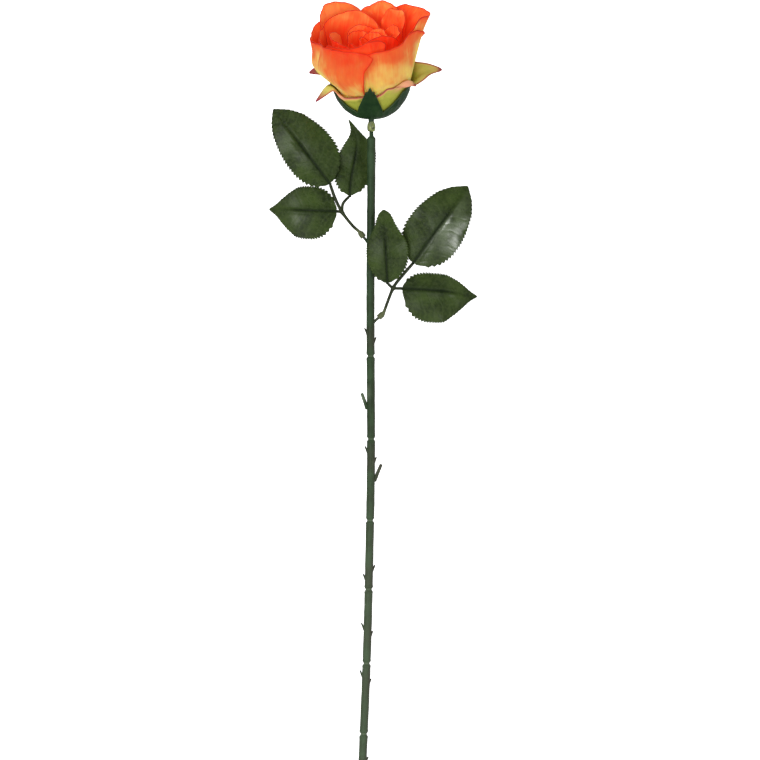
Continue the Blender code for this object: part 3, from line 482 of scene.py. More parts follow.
# The knob is an olive plastic moulding that turns the stem's line up to the bloom's axis. The stem's peg is
# plugged into its mouth, and its pin, riveted at the top, holds the calyx and every layer of petals.
BLOOM_BASE = (-1.4, 195.3, 14.85)
BLOOM_TILT = math.radians(27)
PIN_RADIUS = 1.6
PIN_START = 0.2
PIN_TOP = 12.7
PIN_HEAD_RADIUS = 2.45
PIN_HEAD_THICK = 1.0
PIN_HEAD_ROUNDING = 0.9
KNOB_ROUTE = ((-1.4, 184.8, 11.7), (-1.4, 187.6, 12.25), (-1.4, 190.5, 13.1), (-1.4, 193.1, 14.2))
# The knob's radius at world y: a bead, a waist and a flare under the calyx.
KNOB_PROFILE = (
    (184.8, 2.45),
    (185.5, 2.8),
    (187.4, 3.0),
    (189.4, 2.8),
    (190.5, 2.3),
    (191.4, 1.95),
    (193.2, 2.1),
    (195.5, 3.4),
)
KNOB_SIDES = 24
SOCKET_RADIUS = PEG_RADIUS + FIT + 0.05
SOCKET_RINGS = 9
# Painted shade: the knob's upper end under the calyx is darkened to the calyx's dark green, fading in
# between these y.
SHADE_PAINTED_FROM = (190.2, 191.8)
UNDER_CALYX_SHADE = (0.012, 0.034, 0.012, 1)
KNOB_DARK = (0.045, 0.060, 0.014, 1)
KNOB_PALE = (0.27, 0.31, 0.10, 1)
bloom_axis = Vector((0, math.cos(BLOOM_TILT), math.sin(BLOOM_TILT)))
bloom_matrix = Matrix.Translation(Vector(BLOOM_BASE)) @ Matrix.Rotation(BLOOM_TILT - math.pi / 2, 4, "X")


def bloom_point(height):
    return Vector(BLOOM_BASE) + bloom_axis * height


def facing(points, k):
    """The direction of a route at point k."""
    return Vector(points[min(k + 1, len(points) - 1)] - points[max(k - 1, 0)])


knob_line = np.concatenate([along(KNOB_ROUTE, 0.5), [tuple(bloom_point(PIN_START))]])
knob_stations = []
for k, point in enumerate(knob_line):
    radius = float(np.interp(point[1], *zip(*KNOB_PROFILE)))
    knob_stations.append((Vector(point), facing(knob_line, k), radius))
socket = [(point, way, SOCKET_RADIUS) for point, way, _ in knob_stations[:SOCKET_RINGS]]
pin = [(PIN_START, PIN_RADIUS), (PIN_TOP - PIN_HEAD_THICK, PIN_RADIUS)]
pin += [(PIN_TOP - PIN_HEAD_THICK, PIN_HEAD_RADIUS), (PIN_TOP, PIN_HEAD_RADIUS * PIN_HEAD_ROUNDING)]
knob_stations += [(bloom_point(height), bloom_axis, radius) for height, radius in pin]
knob_plastic = moulded_plastic("knob_plastic", KNOB_DARK, KNOB_PALE, 0.3, UNDER_CALYX_SHADE, gloss=0.4, patch=420)
knob_points, knob_faces = swept(knob_stations, KNOB_SIDES, socket)
# Painted shade on the knob's upper end, under the calyx.
knob_marks = {"wear_and_shade": eased(np.array([point[1] for point in knob_points]), *SHADE_PAINTED_FROM)}
new_piece("bloom_knob", knob_points, knob_faces, knob_plastic, "flower_core", "core_plastic", knob_marks)

# The calyx is a moulded dark green cup, threaded on the pin first. Its five sepals, each with a small tooth
# on either side, lie against the bloom.
BALL = 27
# Sepals: azimuth of the notch before it, of its middle, and the height of its tip.
SEPALS = ((245, 268.5, 39.5), (291, 330, 31.5), (374, 412, 33.5), (448, 484, 33.5), (520, 559, 23.5))
NOTCH_HEIGHT = 12.5
# A sepal's edge: share of the way from its middle to the notch, and share of its height there.
SEPAL_EDGE = (
    ((0, 1), (0.07, 0.9), (0.14, 0.77), (0.23, 0.81), (0.29, 0.7))
    + ((0.4, 0.58), (0.62, 0.36), (0.89, 0.12), (1, 0))
)
CALYX_HEIGHTS = (0.9, 1.9, 5.2, 9, 16, 22, 27, 31, 35, 39)
CALYX_RADII = (2.3, 8.5, 15.9, 20.2, 24.7, 26.9, 28.6, 30.8, 33.6, 36.4)
CALYX_THICK = 0.7
CALYX_COLUMNS = 288
CALYX_ROWS = 30
SEPAL_RIB = 0.28
SEPAL_RIB_WIDTH = 1.3
CALYX_FLUTE = 0.1
FLUTES = 30
CALYX_RUB = 0.55
CALYX_RUB_WIDTH = 0.7
CALYX_DARK = (0.007, 0.026, 0.008, 1)
CALYX_PALE = (0.018, 0.046, 0.014, 1)
CALYX_RUBBED = (0.07, 0.10, 0.05, 1)


def across(u, *values):
    """A value that runs smoothly through the given ones from u = -1 to 1."""
    return through(list(values), (u + 1) / 2)


def polar_grid(radius, azimuth, height):
    angle = np.radians(azimuth)
    return np.stack([radius * np.cos(angle), radius * np.sin(angle), height], axis=-1)


def in_world(points):
    """Points of the bloom's frame, in the rose's own frame."""
    return points @ np.array(bloom_matrix.to_3x3()).T + np.array(bloom_matrix.translation)


def sheet(grid, thick, ring=False):
    """Points and faces of a closed sheet of even thickness from a grid of points, with the outer side first.
    A ring's first and last columns are neighbours."""
    if ring:
        wrapped = np.concatenate([grid[-1:], grid, grid[:1]])
        normal = np.cross(np.gradient(wrapped, axis=0), np.gradient(wrapped, axis=1))[1:-1]
    else:
        normal = np.cross(np.gradient(grid, axis=0), np.gradient(grid, axis=1))
    normal /= np.maximum(np.linalg.norm(normal, axis=-1, keepdims=True), 1e-9)
    index = np.arange(grid[..., 0].size).reshape(grid.shape[:2])
    count = index.size
    if ring:
        index = np.concatenate([index, index[:1]])
    corners = [index[:-1, :-1], index[1:, :-1], index[1:, 1:], index[:-1, 1:]]
    outer = np.stack(corners, axis=-1).reshape(-1, 4)
    starts = [index[:-1, 0], index[1:, -1]]
    ends = [index[1:, 0], index[:-1, -1]]
    if not ring:
        starts += [index[0, 1:], index[-1, :-1]]
        ends += [index[0, :-1], index[-1, 1:]]
    start, end = np.concatenate(starts), np.concatenate(ends)
    edge = np.stack([end, start, start + count, end + count], axis=-1)
    sides = [(grid + normal * thick / 2).reshape(-1, 3), (grid - normal * thick / 2).reshape(-1, 3)]
    return np.concatenate(sides), np.concatenate([outer, outer[:, ::-1] + count, edge]).tolist()


def on_both(*values):
    """A mark's values for the outer and then the inner side of a sheet."""
    return np.concatenate([np.ravel(value) for value in (values if len(values) == 2 else values * 2)])


def calyx_shape():
    """The grid of the cup and its distance below the sepals' edge."""
    shares, heights = zip(*SEPAL_EDGE)
    azimuth = SEPALS[0][0] + np.arange(CALYX_COLUMNS) * 360 / CALYX_COLUMNS
    notches = [sepal[0] for sepal in SEPALS] + [SEPALS[0][0] + 360]
    which = np.searchsorted(notches, azimuth, side="right") - 1
    middle, tip = (np.array([SEPALS[k][part] for k in which]) for part in (1, 2))
    edge = np.array([notches[k + (a > m)] for k, a, m in zip(which, azimuth, middle)])
    middle_of = azimuth - middle
    share = np.interp(np.abs(middle_of / (edge - middle)), shares, heights)
    top = NOTCH_HEIGHT + (tip - NOTCH_HEIGHT) * share
    v = np.linspace(0, 1, CALYX_ROWS)[None, :] + 0 * top[:, None]
    low = CALYX_HEIGHTS[0] + (CALYX_HEIGHTS[2] - CALYX_HEIGHTS[0]) * np.clip(v * 5, 0, 1) ** 2
    height = low + (top[:, None] - CALYX_HEIGHTS[2]) * np.clip((v - 0.2) / 0.8, 0, 1)
    radius = np.interp(height, CALYX_HEIGHTS, CALYX_RADII)
    rib = SEPAL_RIB * bell(middle_of[:, None], SEPAL_RIB_WIDTH)
    rib = rib * eased(v, 0.2, 0.5) * (1 - eased(v, 0.85, 1))
    flute = CALYX_FLUTE * np.sin(np.radians(azimuth * FLUTES))[:, None] * eased(v, 0.1, 0.3)
    return polar_grid(radius + rib + flute, azimuth[:, None] + 0 * v, height), top[:, None] - height


calyx_sheet, calyx_depth = calyx_shape()
calyx_plastic = moulded_plastic("calyx_plastic", CALYX_DARK, CALYX_PALE, 0.45, CALYX_RUBBED, gloss=0.05)
calyx_points, calyx_faces = sheet(calyx_sheet, CALYX_THICK, ring=True)
calyx_points = in_world(calyx_points)
calyx_marks = {"wear_and_shade": on_both(CALYX_RUB * bell(calyx_depth, CALYX_RUB_WIDTH))}
new_piece("calyx_cup", calyx_points, calyx_faces, calyx_plastic, "calyx", "calyx_plastic", calyx_marks)

# The guard is one die-cut piece of printed fabric, yellow-green with red-dyed edges. It lines the calyx, and
# its five points curl out past the sepals, showing their salmon lining.
# The rim: azimuth, radius, height, and height of the crest that it curls over.
GUARD_RIM = (
    (193, 29, 28, 24), (198, 33, 28.2, 28), (202, 39.5, 22.5, 29.5), (205, 42.8, 19.3, 30),
    (208.5, 36.5, 23.5, 29.5), (212, 31.6, 27.2, 27), (217, 29.8, 26, 24), (223, 29, 25, 22.5),
    (230, 28.8, 24.6, 22), (242, 28.4, 26.2, 23), (256, 28.6, 27.5, 24), (270, 28.8, 27.9, 24.5),
    (278, 28.9, 28.3, 25), (285, 29, 30.8, 26.5), (292, 29.3, 33.8, 30), (300, 29.5, 33.6, 31),
    (308, 30.5, 33.5, 33.5), (318, 32.5, 32.5, 35.5), (326, 34, 32.2, 35.5), (333, 35.3, 30.7, 33.5),
    (339, 31.5, 30.6, 31.2), (345, 32.5, 28, 29), (350, 37, 30.5, 29.8), (355, 42, 34, 31.5),
    (361, 49.5, 35.4, 33.5), (367, 42, 37.6, 34.5), (374, 33.5, 38, 33.5), (384, 30.5, 36, 31),
    (412, 29.3, 30, 26), (436, 29.8, 32, 28.5), (448, 30.5, 35, 31.5), (460, 30.2, 31, 28),
    (486, 29.3, 30, 26), (512, 31, 31, 28), (519, 38, 33, 31.5), (529, 44.3, 29.5, 31.5),
    (538, 35, 31, 30), (545, 29.5, 29, 26),
)
GUARD_COLUMNS = 300
GUARD_ROWS = 44
FABRIC_THICK = 0.35
GUARD_INSET = 1.3
GUARD_DEGREES = (36, 62, 80)
GUARD_HUB = ((2.3, 2.4), (8.5, 3.1))
CREST_RADIUS = 28
CREST_SHARE = 0.38
# The upper rows curl out over the calyx where the rim reaches further than CURL_REACH.
CURL_REACH = (29.8, 31.5)
CURL_ROWS = (0.6, 0.7)
# The map of the room inside the layers, by azimuth and height.
AZIMUTH_STEP = 3.0
ROOM_ROWS = 92
FAR = 99.0
BOWL_FLOOR = 13.0
LAYER_GAP = 1.0
SMOOTHINGS = 8


def in_ball(inset, degrees):
    """Radius and height of a point of the bowl, so far inside the calyx, in degrees up from the bottom."""
    radius = BALL - inset
    angle = math.radians(degrees)
    return radius * math.sin(angle), BALL - radius * math.cos(angle)


def room_bins(grid):
    """Where points of the bloom's frame fall in a map of azimuth by height."""
    azimuth = np.degrees(np.arctan2(grid[..., 1], grid[..., 0])) % 360
    column = (azimuth / AZIMUTH_STEP).astype(int) % round(360 / AZIMUTH_STEP)
    return column, np.clip(grid[..., 2].astype(int), 0, ROOM_ROWS - 1)


def take_room(room, grid):
    """Notes a layer's faces as the limit for the layers inside it."""
    parts = np.linspace(0, 1, 4)
    for s in parts:
        between = grid[:-1] * (1 - s) + grid[1:] * s
        for t in parts:
            dense = between[:, :-1] * (1 - t) + between[:, 1:] * t
            np.minimum.at(room, room_bins(dense), np.hypot(dense[..., 0], dense[..., 1]))


def bent_clear(room, grid):
    """The grid with each point above the bowl's floor drawn in until it clears what stands outside it."""
    beside = np.min([np.roll(room, turn, axis=0) for turn in (-1, 0, 1)], axis=0)
    near = np.min([np.roll(beside, rise, axis=1) for rise in (-1, 0, 1)], axis=0)
    radius = np.hypot(grid[..., 0], grid[..., 1])
    limit = np.where(grid[..., 2] > BOWL_FLOOR, near[room_bins(grid)] - LAYER_GAP, FAR)
    share = np.minimum(radius, limit) / np.maximum(radius, 1e-6)
    for _ in range(SMOOTHINGS):
        padded = np.pad(share, 1, mode="edge")
        share = (padded[:-2, 1:-1] + padded[2:, 1:-1] + padded[1:-1, :-2] + padded[1:-1, 2:] + 2 * share) / 6
    return grid * np.stack([share, share, np.ones_like(share)], axis=-1)


def bent_inside(room, grid):
    """The guard's grid bent clear of the calyx, but for the points' upper parts, which curl out over it."""
    curls = eased(np.hypot(grid[:, -1:, 0], grid[:, -1:, 1]), *CURL_REACH)
    inside = 1 - curls * eased(np.linspace(0, 1, grid.shape[1]), *CURL_ROWS)[None, :]
    return grid + (bent_clear(room, grid) - grid) * inside[..., None]


# Azimuths of the points' maroon tips and how far down they reach; azimuths and half widths of the blush.
GUARD_TIPS = ((205, 12), (333, 5), (361, 5), (448, 7), (529, 15))
GUARD_BLUSH = ((321, 15), (221, 9))
BLUSH_DEPTH = (3.5, 7.5)
GUARD_MAROON = (0.30, 0.02, 0.05, 1)
GUARD_SALMON = (0.88, 0.38, 0.22, 1)
GUARD_BAND = (0.80, 0.32, 0.17, 1)
GUARD_EDGE = (0.26, 0.012, 0.025, 1)
# The dyes from the hub to the points, outside and on the lining.
GUARD_STOPS = (0, 0.5, 0.8, 1)
GUARD_OUTSIDE = ((0.16, 0.20, 0.02), (0.33, 0.36, 0.04), (0.48, 0.46, 0.07), (0.60, 0.48, 0.11))
GUARD_LINING = ((0.50, 0.35, 0.07), (0.46, 0.52, 0.07), (0.45, 0.50, 0.08), (0.60, 0.50, 0.14))
GUARD_DYE_LENGTH = 55
GUARD_SEED = 7
TIP_DYE = 0.9
BLUSH_DYE = 0.95
THREAD_PITCH = 0.9
THREAD_DEPTH = 0.00012
# How far streaks and clouds of the dye move it along the cloth, and what keeps its middle in place.
STREAK_SHARE = 0.08
CLOUD_SHARE = 0.19
DYE_SHIFT = -0.145
# The same for the rim's band, as shares of its width.
BAND_STREAK = 0.25
BAND_SHIFT = -0.12
# How strongly the band, the threads and the cut edge are dyed.
BAND_DYE = 0.95
THREAD_DYE = 0.03
EDGE_DYE = 0.8


def run_of(grid, axis):
    """Distances along a grid's lines from their first points."""
    steps = np.linalg.norm(np.diff(grid, axis=axis), axis=-1)
    return np.concatenate([0 * steps.take([0], axis), np.cumsum(steps, axis=axis)], axis=axis)


def guard_shape():
    """The guard's grid, its lengths from the hub, and how far each point lies below the rim."""
    azimuth = GUARD_RIM[0][0] + np.arange(GUARD_COLUMNS) * 360 / GUARD_COLUMNS
    stops = np.array([entry[0] for entry in GUARD_RIM] + [GUARD_RIM[0][0] + 360])
    place = np.interp(azimuth, stops, np.arange(len(stops))) / (len(stops) - 1)
    closed = GUARD_RIM + GUARD_RIM[:1]
    rim_r, rim_z, crest_z = (through([entry[k] for entry in closed], place)[:, None] for k in (1, 2, 3))
    v = np.linspace(0, 1, GUARD_ROWS)[None, :] + 0 * rim_r
    wall = GUARD_HUB + tuple(in_ball(GUARD_INSET, degrees) for degrees in GUARD_DEGREES)
    crest_r = (1 - CREST_SHARE) * CREST_RADIUS + CREST_SHARE * rim_r
    radius = through([point[0] for point in wall] + [crest_r, rim_r], v)
    height = through([point[1] for point in wall] + [crest_z, rim_z], v)
    grid = polar_grid(radius, azimuth[:, None] + 0 * v, height)
    edge = grid[:, -1]
    edge = np.concatenate([edge, (edge + np.roll(edge, 1, axis=0)) / 2])
    depth = np.array([np.linalg.norm(column[:, None] - edge, axis=-1).min(axis=1) for column in grid])
    return grid, run_of(grid, 1), depth


def guard_tints(grid, depth):
    """How strong the maroon of the points' tips and the salmon blush near the rim are, from 0 to 1."""
    columns = len(grid)
    azimuth = (GUARD_RIM[0][0] + np.arange(columns) * 360 / columns)[:, None]
    tip, blush = 0 * depth, 0 * depth
    for place, reach in GUARD_TIPS:
        end = grid[round((place - GUARD_RIM[0][0]) * columns / 360) % columns, -1]
        tip = np.maximum(tip, 1 - eased(np.linalg.norm(grid - end, axis=-1), 0.2 * reach, reach))
    for place, width in GUARD_BLUSH:
        beside = (azimuth - place + 180) % 360 - 180
        blush = np.maximum(blush, bell(beside, width) * (1 - eased(depth, *BLUSH_DEPTH)))
    return TIP_DYE * tip, BLUSH_DYE * blush


def weave_group():
    """The threads of a plain weave from two distances along the cloth in millimetres."""
    group, given, out = new_group("weave", ("Across", "Along", "Pitch"), ("Height",))
    waves = []
    for name in ("Across", "Along"):
        turns = computed(group, "DIVIDE", given.outputs[name], given.outputs["Pitch"])
        waves.append(computed(group, "SINE", computed(group, "MULTIPLY", turns, 2 * math.pi)))
    group.links.new(ranged(group, computed(group, "MULTIPLY", *waves), -1, 1), out.inputs["Height"])
    return group


WEAVE = weave_group()


def streak_group():
    """Where the dye has run: blotches stretched along the cloth, from 0 to 1."""
    group, given, out = new_group("streaks", ("Across", "Along", "Seed"), ("Streak", "Cloud"))
    place = new_node(group, "CombineXYZ", **dict(zip("XYZ", given.outputs))).outputs[0]
    for name, stretch_by, detail in (("Streak", (0.9, 0.07, 3), 3), ("Cloud", (0.1, 0.08, 3), 2)):
        mapping = new_node(group, "Mapping", Vector=place, Scale=stretch_by)
        noise = new_node(group, "TexNoise", Vector=mapping.outputs[0], Scale=1, Detail=detail)
        group.links.new(ranged(group, noise.outputs["Fac"], 0.3, 0.7), out.inputs[name])
    return group


STREAKS = streak_group()


def summed(tree, *terms):
    """The sum of outputs, each scaled: (output, factor) pairs and plain numbers."""
    total = 0.0
    for term in terms:
        value, factor = term if isinstance(term, tuple) else (term, 1.0)
        total = computed(tree, "MULTIPLY_ADD", value, factor, total)
    return total


def ramped(tree, value, stops):
    """A colour along (position, colour) stops."""
    ramp = new_node(tree, "ValToRGB", Fac=value)
    elements = ramp.color_ramp.elements
    while len(elements) < len(stops):
        elements.new(0.5)
    for element, (position, colour) in zip(elements, stops):
        element.position = position
        element.color = (*colour, 1)
    return ramp.outputs["Color"]


def dyed_fabric(name, outside, inside, band_dye, edge_dye, band, inner_band, edge_width, tints=()):
    """Cloth dyed along its length on each side, with a band of another dye along the rim and a dark edge. It
    reads the marks dye, inner, rim, across, along and seed, and one for each further tint."""
    made, tree = new_material(name)
    cloth = {"Across": marked(tree, "across"), "Along": marked(tree, "along")}
    runs = use_group(tree, STREAKS, **cloth, Seed=marked(tree, "seed"))
    weave = use_group(tree, WEAVE, **cloth, Pitch=THREAD_PITCH)
    streak, cloud = runs.outputs["Streak"], runs.outputs["Cloud"]
    dye = summed(tree, (marked(tree, "dye"), 1.0), (streak, STREAK_SHARE), (cloud, CLOUD_SHARE), DYE_SHIFT)
    sides = mixed(tree, marked(tree, "inner"), ramped(tree, dye, outside), ramped(tree, dye, inside))
    rim = summed(tree, (marked(tree, "rim"), 1.0), (streak, BAND_STREAK * band), BAND_SHIFT * band)
    outer_share = ranged(tree, rim, band, 0.3 * band, 0.0, BAND_DYE)
    inner_share = ranged(tree, rim, band, 0.0, 0.0, inner_band)
    band_share = new_node(tree, "Mix", Factor=marked(tree, "inner"), A=outer_share, B=inner_share)
    banded = mixed(tree, band_share.outputs["Result"], sides, band_dye)
    threads = mixed(tree, ranged(tree, weave.outputs["Height"], 0, 1, 0, THREAD_DYE), banded, edge_dye)
    edge = ranged(tree, marked(tree, "rim"), edge_width, 0.4 * edge_width, 0, EDGE_DYE)
    colour = mixed(tree, edge, threads, edge_dye)
    for mark, tint in tints:
        colour = mixed(tree, marked(tree, mark), colour, tint)
    painted(tree, Base_Color=colour, Roughness=ranged(tree, cloud, 0, 1, 0.68, 0.82))
    bumped(tree, weave.outputs["Height"], THREAD_DEPTH, 0.35)
    return made, tree


def cloth_marks(grid, length, dyes, rim, seed):
    """The marks that dyed cloth reads, for both sides of a sheet."""
    over = run_of(grid, 0)
    return {
        "dye": on_both(*dyes),
        "inner": on_both(0 * length, 0 * length + 1),
        "rim": on_both(rim),
        "across": on_both(over - over.mean()),
        "along": on_both(length),
        "seed": on_both(0 * length + seed),
    }


room = np.full((round(360 / AZIMUTH_STEP), ROOM_ROWS), FAR)
take_room(room, np.concatenate([calyx_sheet, calyx_sheet[:1]]))
guard_sheet, guard_length, guard_depth = guard_shape()
guard_sheet = bent_inside(room, guard_sheet)
take_room(room, np.concatenate([guard_sheet, guard_sheet[:1]]))
guard_fabric, guard_tree = dyed_fabric(
    "guard_fabric",
    tuple(zip(GUARD_STOPS, GUARD_OUTSIDE)),
    tuple(zip(GUARD_STOPS, GUARD_LINING)),
    GUARD_BAND,
    GUARD_EDGE,
    band=2.2,
    inner_band=0.5,
    edge_width=1.3,
    tints=(("blush", GUARD_SALMON), ("tip", GUARD_MAROON)),
)
painted(guard_tree, Specular_IOR_Level=0.2)
guard_dyes = (guard_length / GUARD_DYE_LENGTH,)
guard_marks = cloth_marks(guard_sheet, guard_length, guard_dyes, guard_depth, GUARD_SEED)
guard_tip, guard_blush = guard_tints(guard_sheet, guard_depth)
guard_marks |= {"tip": on_both(guard_tip), "blush": on_both(guard_blush)}
guard_points, guard_faces = sheet(guard_sheet, FABRIC_THICK, ring=True)
guard_points = in_world(guard_points)
node = "petals_guard"
new_piece("guard_lobes", guard_points, guard_faces, guard_fabric, node, "guard_fabric", guard_marks)

# The petals are five layers of thin dyed fabric, each one die-cut star whose arms are the petals, threaded
# on the pin from the outside in. They are yellow at the root, then orange, and red at rim and folds.
PETAL_COLUMNS = 49
PETAL_ROWS = 61
LOW_BELLY = 27.5
# How far a petal has come from its belly to its rim shortly below the rim.
LEAN = 0.45
LAP = (-1.5, 0, 1.5)
NO_LAP = (0, 0, 0)
HUB_HOLE = 2.0
HUB_THICK = 1.0


def shaped(az, span, rim_r, rim_z, belly, **more):
    """A petal's middle azimuth and half width in degrees, and its rim and belly from side to side in mm.
    Also edges: how far its sides lap outwards, root: azimuth and half width of its foot, pale: how much
    paler its dye is, and clean_edge: how much narrower its dark cut edge is."""
    return dict(az=az, span=span, rim_r=rim_r, rim_z=rim_z, belly=belly, **more)


OUTER = dict(
    node="petals_outer",
    look=dict(pale=0, inner_pale=-0.08, glow=0, clean_edge=0),
    inset=3,
    hub=4.4,
    root=(6.6, 7.6),
    petals=(
        shaped(230.5, 31.5, (38, 39, 38, 36.2, 34.4), (65.2, 64, 65, 66, 65.5), (38.5, 37.2, 33.6),
               edges=(0, 0, 0.5), root=(226, 28), flare=5, crease=0.9, pale=(0.24, 0, -0.02),
               clean_edge=(0.2, 0.45, 0.8)),
        shaped(306, 50, (34, 34.5, 33.6, 32.3, 41), (64.6, 65.8, 68.5, 73, 70.5), (32.5, 32.5, 30),
               edges=(-1.2, 0, 0), root=(280, 48), lean=0.25, pale=(0.12, 0.14, 0.24),
               clean_edge=(0.5, 0.4, 0)),
        shaped(379, 52, (31.5, 34.5, 41, 39, 38, 39), (77, 79.5, 76, 74.8, 73.2, 68), (28.5, 33, 35),
               edges=NO_LAP, pale=(0.44, 0.2, 0), inner_pale=(0.07, 0.06, 0.04)),
        shaped(438, 28, (34, 35, 35, 34, 33), (68.7, 70.9, 72.9, 69.5, 68.2), (33, 34, 33),
               edges=NO_LAP, inner_pale=-0.02),
        shaped(487, 31, (38.5, 40, 41, 41, 39), (63, 69.4, 73.1, 73.4, 72), (36.5, 38, 38),
               edges=NO_LAP, inner_pale=-0.16),
        shaped(536, 31, (43, 42.5, 42.1, 39.8, 36.5), (66.5, 61, 58.2, 60.5, 66), (40.5, 40.5, 36.5),
               edges=NO_LAP, pale=(0, 0.1, 0.36)),
    ),
)
SECOND = dict(
    node="petals_second",
    look=dict(pale=(-0.08, -0.05, -0.02), inner_pale=0, glow=0.15, clean_edge=0.15),
    inset=7,
    hub=6,
    root=(6, 6.9),
    petals=(
        shaped(47.5, 27.5, (24, 28, 26, 24, 22), (65.7, 73.4, 72.7, 72.6, 64.6), (26, 27, 25)),
        shaped(110, 48, (15, 21, 28, 33, 35), (60.8, 65.2, 69.1, 67.3, 67.2), (20, 27, 31),
               inner_pale=(0, 0, 0.1)),
        shaped(172, 34, (36, 37, 36.5, 35, 33), (66, 62, 59.5, 60, 61.5), (33, 35, 33)),
        shaped(245, 45, (35.3, 35, 34.3, 30.5, 28), (63.5, 64.2, 67, 72.4, 74.5), (34, 33, 28)),
        shaped(325, 36, (28, 28.5, 29, 29, 28.5), (62, 62, 63, 64, 64), (28, 27, 27)),
    ),
)
MIDDLE = dict(
    node="petals_middle",
    look=dict(pale=(-0.12, -0.1, -0.1), inner_pale=0.04, glow=0.35, clean_edge=0.2),
    inset=11.5,
    hub=7.6,
    root=(5.2, 5.9),
    petals=(
        shaped(15, 45, (20, 20, 19, 18, 16), (65, 66, 66.5, 65, 62), (20, 19, 17)),
        shaped(100, 45, (14, 15, 16, 17.5, 18.5), (58, 60, 62, 63, 62), (15, 17, 20)),
        shaped(195, 45, (27, 29, 28, 26, 24), (60.3, 63, 63.4, 63.5, 64.8), (24, 25, 23), inner_pale=-0.25),
        shaped(285, 45, (23, 23, 21.5, 21, 20), (62, 68, 71.5, 70, 67), (22, 21, 20)),
    ),
)
INNER = dict(
    node="petals_inner",
    look=dict(pale=(-0.15, -0.12, -0.12), inner_pale=0.05, glow=0.8, clean_edge=0.25),
    inset=17.5,
    hub=9.2,
    root=(4.3, 4.9),
    petals=(
        shaped(45, 54, (11, 12, 11.5), (60, 62.5, 61), (12, 12.5, 12)),
        shaped(150, 54, (13, 15, 15), (60, 61.5, 59.5), (13.5, 15, 15)),
        shaped(238, 54, (16, 16, 14.5), (58.5, 60, 62), (15, 15, 14)),
        shaped(320, 54, (13.5, 14, 13), (62, 64.5, 63), (13.5, 14, 13)),
    ),
)
BUD = dict(
    node="petals_bud",
    look=dict(pale=-0.15, inner_pale=0.05, glow=1, clean_edge=0.25),
    inset=22,
    hub=10.8,
    root=(3.1, 3.8),
    petals=(
        shaped(60, 72, (6.5, 8, 6), (58, 61.5, 60), (8.8, 8.8, 8.8)),
        shaped(180, 72, (6.5, 8, 6), (57, 60, 58.5), (8.8, 8.8, 8.8)),
        shaped(300, 72, (6.5, 8, 6), (57, 61, 59), (8.8, 8.8, 8.8)),
    ),
)
# Points of the bowl: degrees up from its bottom, least radius, least rise above the hub. The ROWS below are
# the shares of a petal's height between which something grows.
BOWL_POINTS = ((36, 7, 3), (66, 8, 9))
BELLY_SHARE = 0.65
BELLY_RISE = (0.2, 0.5, 0.77)
CORNER_CUT = 0.07
ROLL = (7, 5, 7)
ROLL_START = 0.8
ROOT_SPREAD = 150
LAP_ROWS = (0.25, 0.5)
WIDENING_ROWS = (0.25, 0.85)
SWING_ROWS = (0.05, 0.6)
FLARE_ROWS = (0.8, 1)
CREASE = 0.55
CREASE_ROWS = (0.3, 0.7)
RIPPLE = 1.0
RIPPLE_ROWS = (0.72, 1)
RIM_WAVE = 0.7
RIM_WAVE_ROWS = (0.7, 1)
# The creases' waves across and along a petal.
CRUMPLE_WAVES = ((1.1, 0.5), (1.9, 0.9), (2.8, 0.8), (4.1, 1.6), (5.6, 1.2), (7.5, 2.4))


def crumple(u, v, seed):
    """Soft creases of handled cloth, between about -1 and 1, mostly running up the petal."""
    draw = np.random.default_rng(seed)
    total = 0 * u
    for wide, tall in CRUMPLE_WAVES:
        turn_u, turn_v, phase = draw.uniform(0.75, 1.25), draw.uniform(-1, 1), draw.uniform(0, 2 * math.pi)
        turns = wide * turn_u * u / 2 + tall * turn_v * v
        total = total + np.sin(2 * math.pi * turns + phase) / (wide + 1.5)
    return total / 1.4


